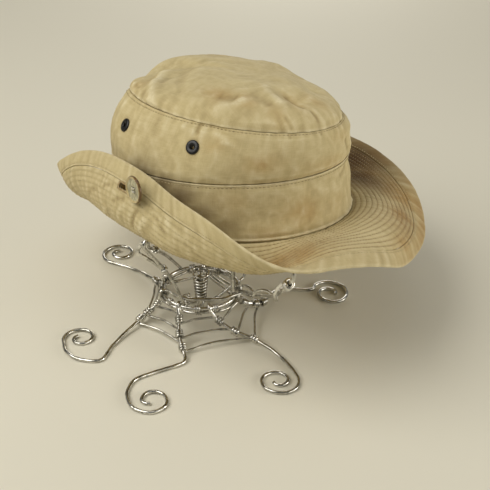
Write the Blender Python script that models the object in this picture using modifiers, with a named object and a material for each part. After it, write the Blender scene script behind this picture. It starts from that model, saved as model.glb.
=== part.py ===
"""Safari hat of washed khaki twill on a plain wire stand, its brim buttoned up on the wearer's right.

Metres, +Z up, the hat's front towards -Y and the wearer's right towards -X. The floor is z = 0.
The hat has a frame of its own, tipped back on the stand, with its origin in the middle of the seam
between crown and brim. Angles round the head are in degrees: 0 is the wearer's left, 90 the back,
180 the wearer's right and 270 the front.
"""

import math

import bmesh
import bpy
import numpy as np
from mathutils import Matrix, Vector

# Crown, outer faces: the rings at the brim, at the middle seam and at the tip's seam
OPENING_LENGTH = 0.2002
OPENING_WIDTH = 0.1752
MIDDLE_LENGTH = 0.1916
MIDDLE_WIDTH = 0.1752
TOP_LENGTH = 0.183
TOP_WIDTH = 0.1432
BAND_HEIGHT = 0.0428
PANEL_HEIGHT = 0.038
TOP_SHIFT_LEFT = 0.0023
TOP_SHIFT_FRONT = 0.0036
TOP_SLOPE_BACK = 0.07
TOP_SLOPE_RIGHT = 0.08
SAG_ANGLE = 117
SAG_SPREAD = 16
SAG_DEPTH = 0.009
PANEL_BULGE = 0.0035
BAND_BULGE = 0.0008
CROWN_CLOTH = 0.0016
FOLD_DEPTH = 0.004

# Tip: how high it is puffed above its seam
TIP_RISE = 0.023

# Brim
BRIM_WIDTH = 0.066
BRIM_CLOTH = 0.0022
BINDING_WIDTH = 0.0135
BINDING_CLOTH = 0.0028

# Clearance between pieces that touch
GAP = 0.0003

# Eyelets
EYELET_ANGLES = (165, 208, 332, 15)
EYELET_LEVEL = 1.61
EYELET_HOLE = 0.0024
EYELET_BARREL = 0.0033
EYELET_FLANGE = 0.0051
EYELET_METAL = 0.0008
EYELET_PLAY = 0.0009

# Button, and its thread to the crown
BUTTON_ANGLE = 193
BUTTON_SHARE = 0.80
BUTTON_RADIUS = 0.01
BUTTON_THICKNESS = 0.0027
BUTTON_RIM = 0.0022
BUTTON_DISH = 0.0009
BUTTON_HOLE = 0.0009
BUTTON_HOLE_SPREAD = 0.0018
BUTTON_FACES = (-0.985, 0.08, 0.03)
THREAD_RADIUS = 0.0008
SLOT_LENGTH = 0.022
SLOT_WIDTH = 0.0038
SLOT_ANGLE = 187
SLOT_SHARE = 0.75
SLOT_TURN = 8
THREAD_IN_SLOT = 0.007

# How the hat sits on the stand
SEAT_HEIGHT = 0.0937
TIP_BACK = 7.6
LEAN_LEFT = 3.5

# Stand
STAND_RIGHT = 0.033
STAND_FRONT = 0.002
LEG_WIRE = 0.0014
ARM_WIRE = 0.0014
WEB_WIRE = 0.0008
HUB_WIRE = 0.0014
HUB_RADIUS = 0.031
HUB_HEIGHT = 0.023
LEG_REACH = 0.115
SCROLL_RADIUS = 0.0145
COIL_WIRE = 0.0008
COIL_PITCH = 0.0029
COIL_TURNS = 7
COIL_FOOT = 0.012
CORE_RADIUS = 0.003
CORE_FOOT = 0.004
CORE_HEIGHT = 0.034
SPOKE_ANGLES = (55, 150, 335)
SPOKE_SAG = 0.0125
SPOKE_FOOT = 0.0085

# How finely round things are divided
AROUND = 60
HUB_SIDES = 20
BUTTON_SIDES = 16
EYELET_SIDES = 12
COIL_SIDES = 8
WIRE_SIDES_SETTING = 1

# Dents and bulges of the crown's wall. Level 0 is the brim's seam, 1 the middle seam, 2 the tip's seam.
# Angle and its spread in degrees, level and its spread, depth as a share of FOLD_DEPTH (inwards is minus).
WALL_FOLD_COLUMNS = ("angle", "angle_spread", "level", "level_spread", "depth")
WALL_FOLDS = (
    (212, 9, 1.95, 0.22, -0.45),
    (148, 22, 1.48, 0.42, 0.95),
    (317, 18, 1.78, 0.18, 0.70),
    (321, 16, 0.80, 0.14, -0.40),
    (318, 18, 1.06, 0.12, 0.25),
    (252, 26, 0.45, 0.30, -0.30),
    (285, 16, 1.70, 0.25, -0.30),
    (60, 30, 1.40, 0.35, 0.30),
    (100, 14, 1.20, 0.40, -0.35),
)

# Lumps and hollows of the tip, in plan. Across and along are shares of its half width and half length,
# from its middle (left and back are plus), the size a share of both, the height a share of TIP_RISE.
TIP_FOLD_COLUMNS = ("across", "along", "size", "height")
TIP_FOLDS = (
    (-0.30, 0.10, 0.28, 0.05),
    (-0.62, 0.44, 0.24, -0.16),
    (0.40, 0.35, 0.30, 0.06),
    (0.10, -0.15, 0.22, -0.07),
    (0.05, -0.72, 0.16, -0.22),
    (0.52, -0.55, 0.16, -0.16),
    (-0.55, -0.35, 0.24, -0.05),
    (0.30, -0.40, 0.16, 0.08),
    (0.72, 0.10, 0.16, 0.15),
    (0.74, -0.26, 0.13, -0.12),
)

# How square the tip's shoulder is round the head: the larger, the steeper it falls to its seam
SHOULDER_COLUMNS = ("angle", "squareness")
SHOULDERS = ((20, 2.8), (70, 2.8), (115, 2.1), (145, 1.25), (180, 1.9), (230, 2.7), (290, 2.6), (340, 2.4))

# Brim: which way the cloth runs at four places of its width, in degrees above level, going outwards.
# Past 90 it leans back over towards the crown, as it does where it is buttoned up.
BRIM_COLUMNS = ("angle", "root", "inner", "outer", "edge")
BRIM_SECTIONS = (
    (0, 16, 10, 9, 9),
    (25, 15, 18, 15, 8),
    (50, 6, 0, -6, -8),
    (80, -4, -12, -18, -14),
    (110, -14, -14, 4, 24),
    (135, -20, 10, 62, 110),
    (150, -12, 44, 90, 132),
    (165, -10, 64, 108, 134),
    (180, -12, 66, 110, 132),
    (195, -28, 57, 116, 134),
    (210, -46, 32, 108, 122),
    (225, -42, 7, 73, 94),
    (240, -28, -8, 29, 34),
    (255, 2, 12, 0, -20),
    (270, 16, 8, -15, -45),
    (285, 22, -4, -40, -64),
    (300, 20, -12, -45, -60),
    (315, 14, -16, -36, -44),
    (335, 12, -8, -12, -8),
)

# Legs of the stand. Angles round the stand in degrees, the heel's and the foot's distances as shares of
# LEG_REACH, how far the web is stretched, which way the foot is curled (1 is to the left, going out) and how
# large the curl is, as a share of SCROLL_RADIUS.
LEG_COLUMNS = ("hub", "web", "stretch", "bend", "bend_out", "heel", "heel_out", "foot", "foot_out", "curl", "size")
LEGS = (
    (48, 38, 0.90, 33, 0.66, 32, 0.85, 24, 0.98, -1, 0.95),
    (119, 98, 0.90, 96, 0.72, 99, 0.89, 92, 1.00, -1, 0.86),
    (159, 164, 0.88, 178, 0.73, 184, 0.88, 165, 0.89, -1, 0.84),
    (200, 219, 1.00, 222, 0.63, 209, 0.79, 215, 1.04, 1, 0.96),
    (245, 274, 1.06, 276, 0.77, 272, 0.98, 264, 0.96, -1, 0.88),
    (295, 326, 0.86, 345, 0.61, 339, 0.84, 334, 0.97, -1, 1.00),
)

# Levels of the web: distance from the middle and height of the leg there, as shares of HUB_RADIUS and HUB_HEIGHT
WEB_COLUMNS = ("out", "height")
WEB_LEVELS = ((1.23, 0.66), (1.58, 0.43), (1.92, 0.24))
WEB_SLACK = 0.94

# The curl of a foot: degrees turned, and distance from its middle as a share of SCROLL_RADIUS
CURL_COLUMNS = ("turned", "out")
CURL = ((80, 1.18), (140, 1.02), (230, 0.95), (320, 0.72), (410, 0.52), (500, 0.36), (560, 0.28))

# Arms that carry the brim from below: where each leaves the hub, where it meets the brim, and how far out
# and how high it bows on the way, as shares of its run. An arm with a hairpin turns back down beside itself,
# that share of its run.
ARM_COLUMNS = ("hub", "angle", "share", "bow_out", "bow_up", "hairpin")
ARMS = (
    (208, 196, 0.31, 0.40, 0.45, 0.45),
    (86, 192, 0.14, 0.50, 0.50, 0),
    (305, 246, 0.80, 0.66, 0.50, 0),
    (30, 40, 0.30, 0.55, 0.45, 0),
)
HAIRPIN_WIDTH = 0.008
SEAT_APPROACH = 0.004

# Posts that carry the tip from inside: where each leaves the hub, and where it meets the tip
POST_COLUMNS = ("hub", "angle", "share", "bow_out", "bow_up", "hairpin")
POSTS = (
    (288, 252, 0.36, 0.10, 0.45, 0),
    (324, 300, 0.36, 0.35, 0.14, 0),
)


def rows(columns, table):
    """The table as one dictionary per row, so that each value is read by its column's name."""
    return [dict(zip(columns, row)) for row in table]


def by_angle(columns, table):
    """The table's angles, and the values of its other columns."""
    values = np.array(table, float)
    at = columns.index("angle")
    return values[:, at], np.delete(values, at, axis=1)


def around(angles, stations, values):
    """Values at any angle, on a smooth closed curve (a periodic cubic spline) through the stations."""
    count = len(stations)
    ends = np.append(stations, stations[0] + 360.0)
    steps = np.diff(ends)
    values = np.vstack([values, values[:1]])
    slopes = np.diff(values, axis=0) / steps[:, None]
    matrix = np.zeros((count, count))
    right = np.zeros((count, values.shape[1]))
    for i in range(count):
        matrix[i, i] = 2 * (steps[i - 1] + steps[i])
        matrix[i, i - 1] += steps[i - 1]
        matrix[i, (i + 1) % count] += steps[i]
        right[i] = 6 * (slopes[i] - slopes[i - 1])
    bends = np.linalg.solve(matrix, right)
    bends = np.vstack([bends, bends[:1]])
    angles = np.asarray(angles, float) % 360
    i = np.clip(np.searchsorted(ends, angles, side="right") - 1, 0, count - 1)
    step = steps[i][:, None]
    before = (ends[i + 1] - angles)[:, None] / step
    after = 1 - before
    curve = (before**3 - before) * bends[i] + (after**3 - after) * bends[i + 1]
    return before * values[i] + after * values[i + 1] + curve * step**2 / 6


def apart(angle, middle):
    """Degrees from one angle to another, the short way round."""
    return (angle - middle + 180) % 360 - 180


def outward(angle):
    """Unit direction in plan that points away from the crown, square to the opening's ring."""
    turn = np.radians(angle)
    way = np.stack([np.cos(turn) / OPENING_WIDTH, np.sin(turn) / OPENING_LENGTH], -1)
    return way / np.linalg.norm(way, axis=-1, keepdims=True)


def ring(angle, width, length, height, left=0.0, back=0.0, slope_back=0.0, slope_left=0.0):
    """Points of an oval ring, which may be shifted and sloped."""
    turn = np.radians(angle)
    x = width / 2 * np.cos(turn)
    y = length / 2 * np.sin(turn)
    return np.stack([x + left, y + back, height + slope_back * y + slope_left * x], -1)


def top_seam(angle):
    height = BAND_HEIGHT + PANEL_HEIGHT
    seam = ring(
        angle, TOP_WIDTH, TOP_LENGTH, height, TOP_SHIFT_LEFT, -TOP_SHIFT_FRONT, TOP_SLOPE_BACK, -TOP_SLOPE_RIGHT
    )
    off = (np.asarray(angle, float) - SAG_ANGLE + 180) % 360 - 180
    seam[..., 2] -= SAG_DEPTH * np.exp(-((off / SAG_SPREAD) ** 2))
    return seam


def wall(angle, level):
    """The crown's outer face. Between two seams it runs straight, plus a bulge, plus the dents of the table."""
    angle, level = np.broadcast_arrays(np.asarray(angle, float), np.asarray(level, float))
    base = ring(angle, OPENING_WIDTH, OPENING_LENGTH, 0.0)
    middle = ring(angle, MIDDLE_WIDTH, MIDDLE_LENGTH, BAND_HEIGHT)
    top = top_seam(angle)
    low = np.clip(level, -1, 1)[..., None]
    high = np.clip(level - 1, 0, 2)[..., None]
    point = np.where(level[..., None] < 1, base + (middle - base) * low, middle + (top - middle) * high)
    push = BAND_BULGE * np.clip(4 * low * (1 - low), 0, 1) + PANEL_BULGE * np.clip(4 * high * (1 - high), 0, 1)
    for fold in rows(WALL_FOLD_COLUMNS, WALL_FOLDS):
        across = apart(angle, fold["angle"]) / fold["angle_spread"]
        up = (level - fold["level"]) / fold["level_spread"]
        push = push + (FOLD_DEPTH * fold["depth"] * np.exp(-(across**2) - up**2))[..., None]
    point[..., :2] += outward(angle) * push
    return point


def wall_normal(angle, level):
    small = 0.01
    along = wall(angle + small, level) - wall(angle - small, level)
    up = wall(angle, level + small) - wall(angle, level - small)
    normal = np.cross(along, up)
    return normal / np.linalg.norm(normal)


def tip(angle, share):
    """The tip's outer face: a puffed dome over its seam. Share 0 is its middle and 1 its seam."""
    angle, share = np.broadcast_arrays(np.asarray(angle, float), np.asarray(share, float))
    seam = top_seam(angle)
    middle = np.mean(top_seam(np.arange(0, 360, 10.0)), axis=0)
    point = middle + (seam - middle) * share[..., None]
    squareness = around(angle.ravel(), *by_angle(SHOULDER_COLUMNS, SHOULDERS)).reshape(angle.shape)
    dome = np.clip(1 - share**squareness, 0, 1) ** (1 / 2)
    across = share * np.cos(np.radians(angle))
    along = share * np.sin(np.radians(angle))
    lumps = np.zeros_like(share)
    for fold in rows(TIP_FOLD_COLUMNS, TIP_FOLDS):
        away = ((across - fold["across"]) ** 2 + (along - fold["along"]) ** 2) / fold["size"] ** 2
        lumps = lumps + fold["height"] * np.exp(-away)
    point[..., 2] += TIP_RISE * (dome + lumps * np.clip(4 * (1 - share), 0, 1))
    return point


def brim(angle, share):
    """The middle of the brim's cloth and the direction it runs in, at shares of its width.

    At each angle round the head the cloth follows a curve whose direction is a cubic through the
    four directions of the table. Adding up short steps along it gives how far out and up it gets.
    """
    angle = np.atleast_1d(np.asarray(angle, float))
    share = np.atleast_1d(np.asarray(share, float))
    directions = around(angle, *by_angle(BRIM_COLUMNS, BRIM_SECTIONS))
    steps = np.linspace(0, 1, 61)
    knots = np.linspace(0, 1, directions.shape[1])
    weights = []
    for i, knot in enumerate(knots):
        others = np.delete(knots, i)
        weights.append(np.prod((steps[:, None] - others) / (knot - others), axis=1))
    run = np.radians(directions @ np.array(weights))
    lengths = BRIM_WIDTH * np.diff(steps)
    out = np.zeros_like(run)
    up = np.zeros_like(run)
    out[:, 1:] = np.cumsum((np.cos(run[:, 1:]) + np.cos(run[:, :-1])) / 2 * lengths, axis=1)
    up[:, 1:] = np.cumsum((np.sin(run[:, 1:]) + np.sin(run[:, :-1])) / 2 * lengths, axis=1)
    root = GAP + BRIM_CLOTH / 2 * np.abs(np.sin(run[:, :1]))
    out = out + root
    base = ring(angle, OPENING_WIDTH, OPENING_LENGTH, 0.0)
    away = outward(angle)
    points = np.zeros((len(angle), len(share), 3))
    ways = np.zeros_like(points)
    for i in range(len(angle)):
        reach = np.interp(share, steps, out[i])
        turn = np.interp(share, steps, run[i])
        points[i] = base[i]
        points[i, :, :2] += away[i] * reach[:, None]
        points[i, :, 2] += np.interp(share, steps, up[i])
        ways[i, :, :2] = away[i] * np.cos(turn)[:, None]
        ways[i, :, 2] = np.sin(turn)
    return points, ways


def brim_face(angle, share, lift):
    """A point of the brim's lower (outer) face, lifted off it, and that face's normal."""
    point, way = brim(angle, share)
    point, way = point[0, 0], way[0, 0]
    normal = np.append(outward(angle) * way[2], -np.hypot(way[0], way[1]) * np.sign(way[:2] @ outward(angle)))
    return point + normal * (BRIM_CLOTH / 2 + lift), normal


def clear_scene():
    for obj in list(bpy.data.objects):
        bpy.data.objects.remove(obj, do_unlink=True)


def collection(name):
    made = bpy.data.collections.new(name)
    bpy.context.scene.collection.children.link(made)
    return made


def material(name, colour, roughness, metallic=0.0):
    made = bpy.data.materials.new(name)
    made.use_nodes = True
    shader = made.node_tree.nodes["Principled BSDF"]
    shader.inputs["Base Color"].default_value = (*colour, 1)
    shader.inputs["Roughness"].default_value = roughness
    shader.inputs["Metallic"].default_value = metallic
    return made


def place(obj, parent, skin, group):
    group.objects.link(obj)
    obj.parent = parent
    if skin:
        obj.data.materials.append(skin)
    return obj


def sheet(name, points, pole=None):
    """A mesh of quads over a closed band of points, rows running outwards or upwards, and a pole if there is one."""
    count, depth = points.shape[:2]
    verts = points.reshape(-1, 3).tolist()
    here = np.arange(count)
    after = (here + 1) % count
    faces = []
    for row in range(depth - 1):
        corners = (here * depth + row, after * depth + row, after * depth + row + 1, here * depth + row + 1)
        faces += np.stack(corners, -1).tolist()
    if pole is not None:
        verts.append(list(pole))
        faces += np.stack([here * depth + depth - 1, after * depth + depth - 1, here * 0 + count * depth], -1).tolist()
    mesh = bpy.data.meshes.new(name)
    mesh.from_pydata(verts, [], faces)
    mesh.shade_smooth()
    return bpy.data.objects.new(name, mesh)


def thicken(obj, cloth, offset):
    solid = obj.modifiers.new("Cloth", "SOLIDIFY")
    solid.thickness = cloth
    solid.offset = offset
    solid.use_even_offset = True
    return obj


def hidden(obj, group, parent):
    group.objects.link(obj)
    obj.parent = parent
    obj.hide_render = True
    obj.display_type = "WIRE"
    return obj


def rod(name, radius, length, sides, where):
    """A closed cylinder, or bar, placed by a matrix and centred on it."""
    mesh = bpy.data.meshes.new(name)
    shape = bmesh.new()
    bmesh.ops.create_cone(shape, cap_ends=True, segments=sides, radius1=radius, radius2=radius, depth=length)
    shape.to_mesh(mesh)
    shape.free()
    obj = bpy.data.objects.new(name, mesh)
    obj.matrix_local = where
    return obj


def block(name, size, where):
    mesh = bpy.data.meshes.new(name)
    shape = bmesh.new()
    bmesh.ops.create_cube(shape, size=1, matrix=Matrix.Diagonal((*size, 1)))
    shape.to_mesh(mesh)
    shape.free()
    obj = bpy.data.objects.new(name, mesh)
    obj.matrix_local = where
    return obj


def cut(obj, cutter):
    boolean = obj.modifiers.new("Cut", "BOOLEAN")
    boolean.operation = "DIFFERENCE"
    boolean.object = cutter


def frame_on(point, normal, up=(0, 0, 1)):
    """A matrix at a point whose Z is the normal and whose Y leans towards up."""
    z = Vector(normal).normalized()
    x = Vector(up).cross(z).normalized()
    y = z.cross(x)
    turn = Matrix((x, y, z)).transposed().to_4x4()
    return Matrix.Translation(point) @ turn


def turned(name, profile, sides, closed):
    """A turned shape: the profile, in radius and height, spun round Z with a Screw modifier."""
    mesh = bpy.data.meshes.new(name)
    count = len(profile)
    edges = [(i, i + 1) for i in range(count - 1)]
    if closed:
        edges.append((count - 1, 0))
    mesh.from_pydata([(radius, 0, height) for radius, height in profile], edges, [])
    obj = bpy.data.objects.new(name, mesh)
    screw = obj.modifiers.new("Turn", "SCREW")
    screw.steps = sides
    screw.render_steps = sides
    screw.use_merge_vertices = True
    screw.merge_threshold = 0.00001
    return obj


def wire(name, points, radius, closed=False, sides=WIRE_SIDES_SETTING, twist="Z_UP"):
    """A wire: a polyline curve with a round section and filled ends."""
    curve = bpy.data.curves.new(name, "CURVE")
    curve.dimensions = "3D"
    curve.twist_mode = twist
    curve.bevel_depth = radius
    curve.bevel_resolution = sides
    curve.use_fill_caps = True
    spline = curve.splines.new("POLY")
    spline.points.add(len(points) - 1)
    for spot, point in zip(spline.points, points):
        spot.co = (*point, 1)
    spline.use_cyclic_u = closed
    return bpy.data.objects.new(name, curve)


def smooth(points, per_span):
    """Points on a smooth curve (Catmull-Rom) through the given ones."""
    points = np.asarray(points, float)
    padded = np.vstack([2 * points[0] - points[1], points, 2 * points[-1] - points[-2]])
    made = []
    for i in range(1, len(padded) - 2):
        a, b, c, d = padded[i - 1 : i + 3]
        for t in np.arange(per_span) / per_span:
            bend = 2 * b + (c - a) * t + (2 * a - 5 * b + 4 * c - d) * t**2 + (3 * b - 3 * c + d - a) * t**3
            made.append(bend / 2)
    made.append(points[-1])
    return np.array(made)


def make_crown(hat, cloth, group, cutters, metal):
    angles = np.arange(AROUND) * 360 / AROUND
    low = -BRIM_CLOTH / 2 / BAND_HEIGHT
    below_middle = 1 - GAP / BAND_HEIGHT
    band_levels = np.linspace(low, below_middle, 3)
    band = sheet("lower_band", wall(angles[:, None], band_levels[None]))
    place(thicken(band, CROWN_CLOTH, -1), hat, cloth, group)

    below_top = 2 - 2 * GAP / PANEL_HEIGHT
    panel = sheet("side_panel", wall(angles[:, None], np.linspace(1, below_top, 5)[None]))
    place(thicken(panel, CROWN_CLOTH, -1), hat, cloth, group)

    shares = np.array([1.0, 0.985, 0.93, 0.82, 0.64, 0.36])
    puff = tip(angles[:, None], shares[None])
    crown_tip = sheet("crown_tip", puff, pole=tip(0, 0))
    place(thicken(crown_tip, CROWN_CLOTH, -1), hat, cloth, group)

    for number, angle in enumerate(EYELET_ANGLES, start=1):
        spot = wall(angle, EYELET_LEVEL)
        normal = wall_normal(angle, EYELET_LEVEL)
        where = frame_on(spot, normal)
        through = rod(f"eyelet_cutter_{number}", EYELET_BARREL + EYELET_PLAY, 8 * CROWN_CLOTH, EYELET_SIDES, where)
        cut(panel, hidden(through, cutters, hat))
        front = EYELET_PLAY
        back = -CROWN_CLOTH - EYELET_PLAY
        profile = (
            (EYELET_HOLE, front + EYELET_METAL),
            (EYELET_FLANGE, front + EYELET_METAL / 2),
            (EYELET_FLANGE, front),
            (EYELET_BARREL, front),
            (EYELET_BARREL, back),
            (EYELET_FLANGE, back),
            (EYELET_FLANGE, back - EYELET_METAL / 2),
            (EYELET_HOLE, back - EYELET_METAL),
        )
        eyelet = turned(f"eyelet_{number}", profile, EYELET_SIDES, closed=True)
        eyelet.matrix_local = where
        place(eyelet, hat, metal, group)


def make_brim(hat, cloth, group):
    angles = np.arange(AROUND) * 360 / AROUND
    seam = 1 - BINDING_WIDTH / BRIM_WIDTH
    half_gap = GAP / BRIM_WIDTH
    stitched = sheet("brim", brim(angles, np.linspace(0, seam - half_gap, 7))[0][:, ::-1])
    place(thicken(stitched, BRIM_CLOTH, 0), hat, cloth, group)
    bound = sheet("brim_binding", brim(angles, np.linspace(seam + half_gap, 1, 3))[0][:, ::-1])
    place(thicken(bound, BINDING_CLOTH, 0), hat, cloth, group)
    return stitched


def make_button(hat, horn, thread, group, cutters, brim_piece):
    faces = np.array(BUTTON_FACES) / np.linalg.norm(BUTTON_FACES)
    lean = np.linalg.norm(np.cross(faces, brim_face(BUTTON_ANGLE, BUTTON_SHARE, 0)[1]))
    spot = brim_face(BUTTON_ANGLE, BUTTON_SHARE, GAP + BUTTON_RADIUS * lean)[0]
    where = frame_on(spot, faces)
    rim_top = BUTTON_THICKNESS
    profile = (
        (0, rim_top - BUTTON_DISH),
        (BUTTON_RADIUS - BUTTON_RIM, rim_top - BUTTON_DISH),
        (BUTTON_RADIUS - BUTTON_RIM / 2, rim_top),
        (BUTTON_RADIUS, rim_top / 2),
        (BUTTON_RADIUS - BUTTON_RIM / 2, 0),
        (0, 0),
    )
    button = turned("button", profile, BUTTON_SIDES, closed=False)
    button.matrix_local = where
    place(button, hat, horn, group)
    for i in range(4):
        turned_by = math.radians(45 + 90 * i)
        offset = Vector((math.cos(turned_by), math.sin(turned_by), 0)) * BUTTON_HOLE_SPREAD
        spot_matrix = where @ Matrix.Translation(offset)
        hole = rod(f"button_cutter_{i + 1}", BUTTON_HOLE, 4 * BUTTON_THICKNESS, 6, spot_matrix)
        cut(button, hidden(hole, cutters, hat))

    slot_at = frame_on(*brim_face(SLOT_ANGLE, SLOT_SHARE, -BRIM_CLOTH / 2))
    slot_at = slot_at @ Matrix.Rotation(math.radians(-SLOT_TURN), 4, "Z")
    slot = block("slot_cutter", (SLOT_LENGTH, SLOT_WIDTH, 3 * BRIM_CLOTH), slot_at)
    cut(brim_piece, hidden(slot, cutters, hat))

    outer = np.array(where @ Vector((0, 0, -GAP)))
    through = np.array(slot_at @ Vector((THREAD_IN_SLOT, 0, 0)))
    turns = BUTTON_ANGLE + np.linspace(-20, 20, 161)[:, None]
    spots = wall(turns, np.linspace(0, 2, 161)[None]).reshape(-1, 3)
    off_line = np.linalg.norm(np.cross(spots - outer, through - outer), axis=1)
    inner = spots[np.argmin(off_line)]
    run = (outer - inner) / np.linalg.norm(outer - inner)
    start = inner + run * (GAP + 1.6 * THREAD_RADIUS)
    askew = np.linalg.norm(np.cross(faces, run)) / (faces @ run)
    length = np.linalg.norm(outer - start) - THREAD_RADIUS * askew
    shank = rod("button_thread", THREAD_RADIUS, length, 8, frame_on(start + run * length / 2, run))
    place(shank, hat, thread, group)


def stand_middle():
    return np.array([-STAND_RIGHT, -STAND_FRONT, 0.0])


def on_stand(angle, out, height):
    turn = math.radians(angle)
    return stand_middle() + np.array([out * math.cos(turn), out * math.sin(turn), height])


def leg_points(leg, floor):
    """A leg's route down through the web's levels, along the floor and into a curl, and where the web lies on it."""
    start = on_stand(leg["hub"], HUB_RADIUS + HUB_WIRE + GAP + LEG_WIRE, HUB_HEIGHT)
    route = [start]
    for i, level in enumerate(rows(WEB_COLUMNS, WEB_LEVELS)):
        share = (i + 1) / len(WEB_LEVELS)
        angle = leg["hub"] + (leg["web"] - leg["hub"]) * share
        out = HUB_RADIUS * level["out"] * (1 + (leg["stretch"] - 1) * share)
        route.append(on_stand(angle, out, HUB_HEIGHT * level["height"]))
    route.append(on_stand(leg["bend"], LEG_REACH * leg["bend_out"], floor))
    heel = on_stand(leg["heel"], LEG_REACH * leg["heel_out"], floor)
    foot = on_stand(leg["foot"], LEG_REACH * leg["foot_out"], floor)
    away = heel - foot
    first = math.degrees(math.atan2(away[1], away[0]))
    turned_by = [0] + [row["turned"] for row in rows(CURL_COLUMNS, CURL)]
    size = SCROLL_RADIUS * leg["size"]
    reach = [np.hypot(away[0], away[1])] + [size * row["out"] for row in rows(CURL_COLUMNS, CURL)]
    curl = []
    for turned_angle in np.arange(30, turned_by[-1] + 1, 30):
        out = np.interp(turned_angle, turned_by, reach)
        turn = math.radians(first + leg["curl"] * turned_angle)
        curl.append(foot + out * np.array([math.cos(turn), math.sin(turn), 0]))
    route.append(heel)
    upper = smooth(route + curl[:1], 2)[:-2]
    upper[:, 2] = np.maximum(upper[:, 2], floor)
    crossings = []
    for i in range(1, 1 + len(WEB_LEVELS)):
        run = route[i + 1] - route[i - 1]
        crossings.append((route[i], run / np.linalg.norm(run)))
    return np.vstack([upper, curl]), crossings


def beside_leg(point, run, towards):
    """Where a strand that leaves a leg's middle line towards a point comes clear of the leg."""
    way = (towards - point) / np.linalg.norm(towards - point)
    along = abs(way @ run)
    across = math.sqrt(1 - along**2)
    return point + way * (LEG_WIRE + 1.5 * GAP + WEB_WIRE * along) / across


def make_stand(stand, hat_matrix, steel, group):
    floor = LEG_WIRE * math.cos(math.radians(30))
    crossings = []
    for number, leg in enumerate(rows(LEG_COLUMNS, LEGS), start=1):
        points, crossing = leg_points(leg, floor)
        crossings.append(crossing)
        place(wire(f"leg_{number}", points, LEG_WIRE), stand, steel, group)

    for number, crossing in enumerate(crossings, start=1):
        following = crossings[number % len(crossings)]
        for level in range(len(WEB_LEVELS)):
            start, start_run = crossing[level]
            end, end_run = following[level]
            middle = stand_middle() + ((start + end) / 2 - stand_middle()) * np.array([WEB_SLACK, WEB_SLACK, 1])
            start = beside_leg(start, start_run, middle)
            end = beside_leg(end, end_run, middle)
            strand = wire(f"web_{level + 1}_{number}", smooth([start, middle, end], 2), WEB_WIRE)
            place(strand, stand, steel, group)

    hub_angles = np.arange(HUB_SIDES) * 360 / HUB_SIDES
    hub = wire("hub_ring", [on_stand(a, HUB_RADIUS, HUB_HEIGHT) for a in hub_angles], HUB_WIRE, closed=True)
    place(hub, stand, steel, group)

    core_middle = on_stand(0, 0, (CORE_FOOT + CORE_HEIGHT) / 2)
    core = rod("hub_core", CORE_RADIUS, CORE_HEIGHT - CORE_FOOT, 8, Matrix.Translation(core_middle))
    place(core, stand, steel, group)
    coil_radius = CORE_RADIUS + GAP + COIL_WIRE
    turns = np.arange(COIL_TURNS * COIL_SIDES + 1) / COIL_SIDES
    coil = [on_stand(360 * turn, coil_radius, COIL_FOOT + COIL_PITCH * turn) for turn in turns]
    place(wire("hub_coil", coil, COIL_WIRE, sides=0), stand, steel, group)

    inner_end = HUB_RADIUS - HUB_WIRE - GAP - ARM_WIRE / 2
    for number, angle in enumerate(SPOKE_ANGLES, start=1):
        ring_end = on_stand(angle, inner_end, HUB_HEIGHT)
        sag = on_stand(angle, (inner_end + CORE_RADIUS) / 2, SPOKE_SAG)
        near = on_stand(angle, CORE_RADIUS + SEAT_APPROACH, SPOKE_FOOT)
        core_end = on_stand(angle, CORE_RADIUS + GAP, SPOKE_FOOT)
        spoke = wire(f"spoke_{number}", [*smooth([ring_end, sag, near], 3), core_end], ARM_WIRE)
        place(spoke, stand, steel, group)

    for number, arm in enumerate(rows(ARM_COLUMNS, ARMS), start=1):
        seat, normal = brim_face(arm["angle"], arm["share"], GAP + ARM_WIRE)
        place(carrier(f"arm_{number}", arm, seat, normal, hat_matrix), stand, steel, group)
    for number, post in enumerate(rows(POST_COLUMNS, POSTS), start=1):
        seat = tip(post["angle"], post["share"]) - np.array([0, 0, CROWN_CLOTH + GAP])
        place(carrier(f"post_{number}", post, seat, np.array([0, 0, -1.0]), hat_matrix), stand, steel, group)


def carrier(name, row, seat, normal, hat_matrix):
    """A wire from the hub's ring to a seat under the hat, which it meets square to the cloth."""
    seat = np.array(hat_matrix @ Vector(seat))
    normal = np.array(hat_matrix.to_3x3() @ Vector(normal))
    start = on_stand(row["hub"], HUB_RADIUS, HUB_HEIGHT + HUB_WIRE + GAP)
    run = seat - start
    first = run * np.array([row["bow_out"], row["bow_out"], row["bow_up"]])
    start[2] += ARM_WIRE * np.hypot(first[0], first[1]) / np.linalg.norm(first)
    bow = start + first
    route = smooth([start, bow, seat + normal * SEAT_APPROACH], 4)
    before, corner = route[-2:]
    turn_in = corner + (before - corner) / np.linalg.norm(before - corner) * SEAT_APPROACH / 2
    route = [*route[:-1], turn_in, (corner + seat) / 2, seat]
    if row["hairpin"]:
        side = np.cross(run, (0, 0, 1))
        side = side / np.linalg.norm(side) * HAIRPIN_WIDTH
        back = -run * row["hairpin"]
        turn = [seat, seat + side / 2, seat + side + back / 8, seat + side + back / 2, seat + side / 2 + back]
        route += list(smooth(turn, 2)[1:])
    return wire(name, route, ARM_WIRE, twist="MINIMUM")


def stand_on_origin(whole, pieces):
    """Moves the whole so that the middle of its bounding box's underside is the origin."""
    bpy.context.view_layer.update()
    graph = bpy.context.evaluated_depsgraph_get()
    lows = []
    highs = []
    for piece in pieces:
        solid = piece.evaluated_get(graph)
        mesh = solid.to_mesh()
        corners = np.array([solid.matrix_world @ vertex.co for vertex in mesh.vertices])
        solid.to_mesh_clear()
        lows.append(corners.min(axis=0))
        highs.append(corners.max(axis=0))
    low, high = np.min(lows, axis=0), np.max(highs, axis=0)
    whole.location = (-(low[0] + high[0]) / 2, -(low[1] + high[1]) / 2, -low[2])
    bpy.context.view_layer.update()


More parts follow.
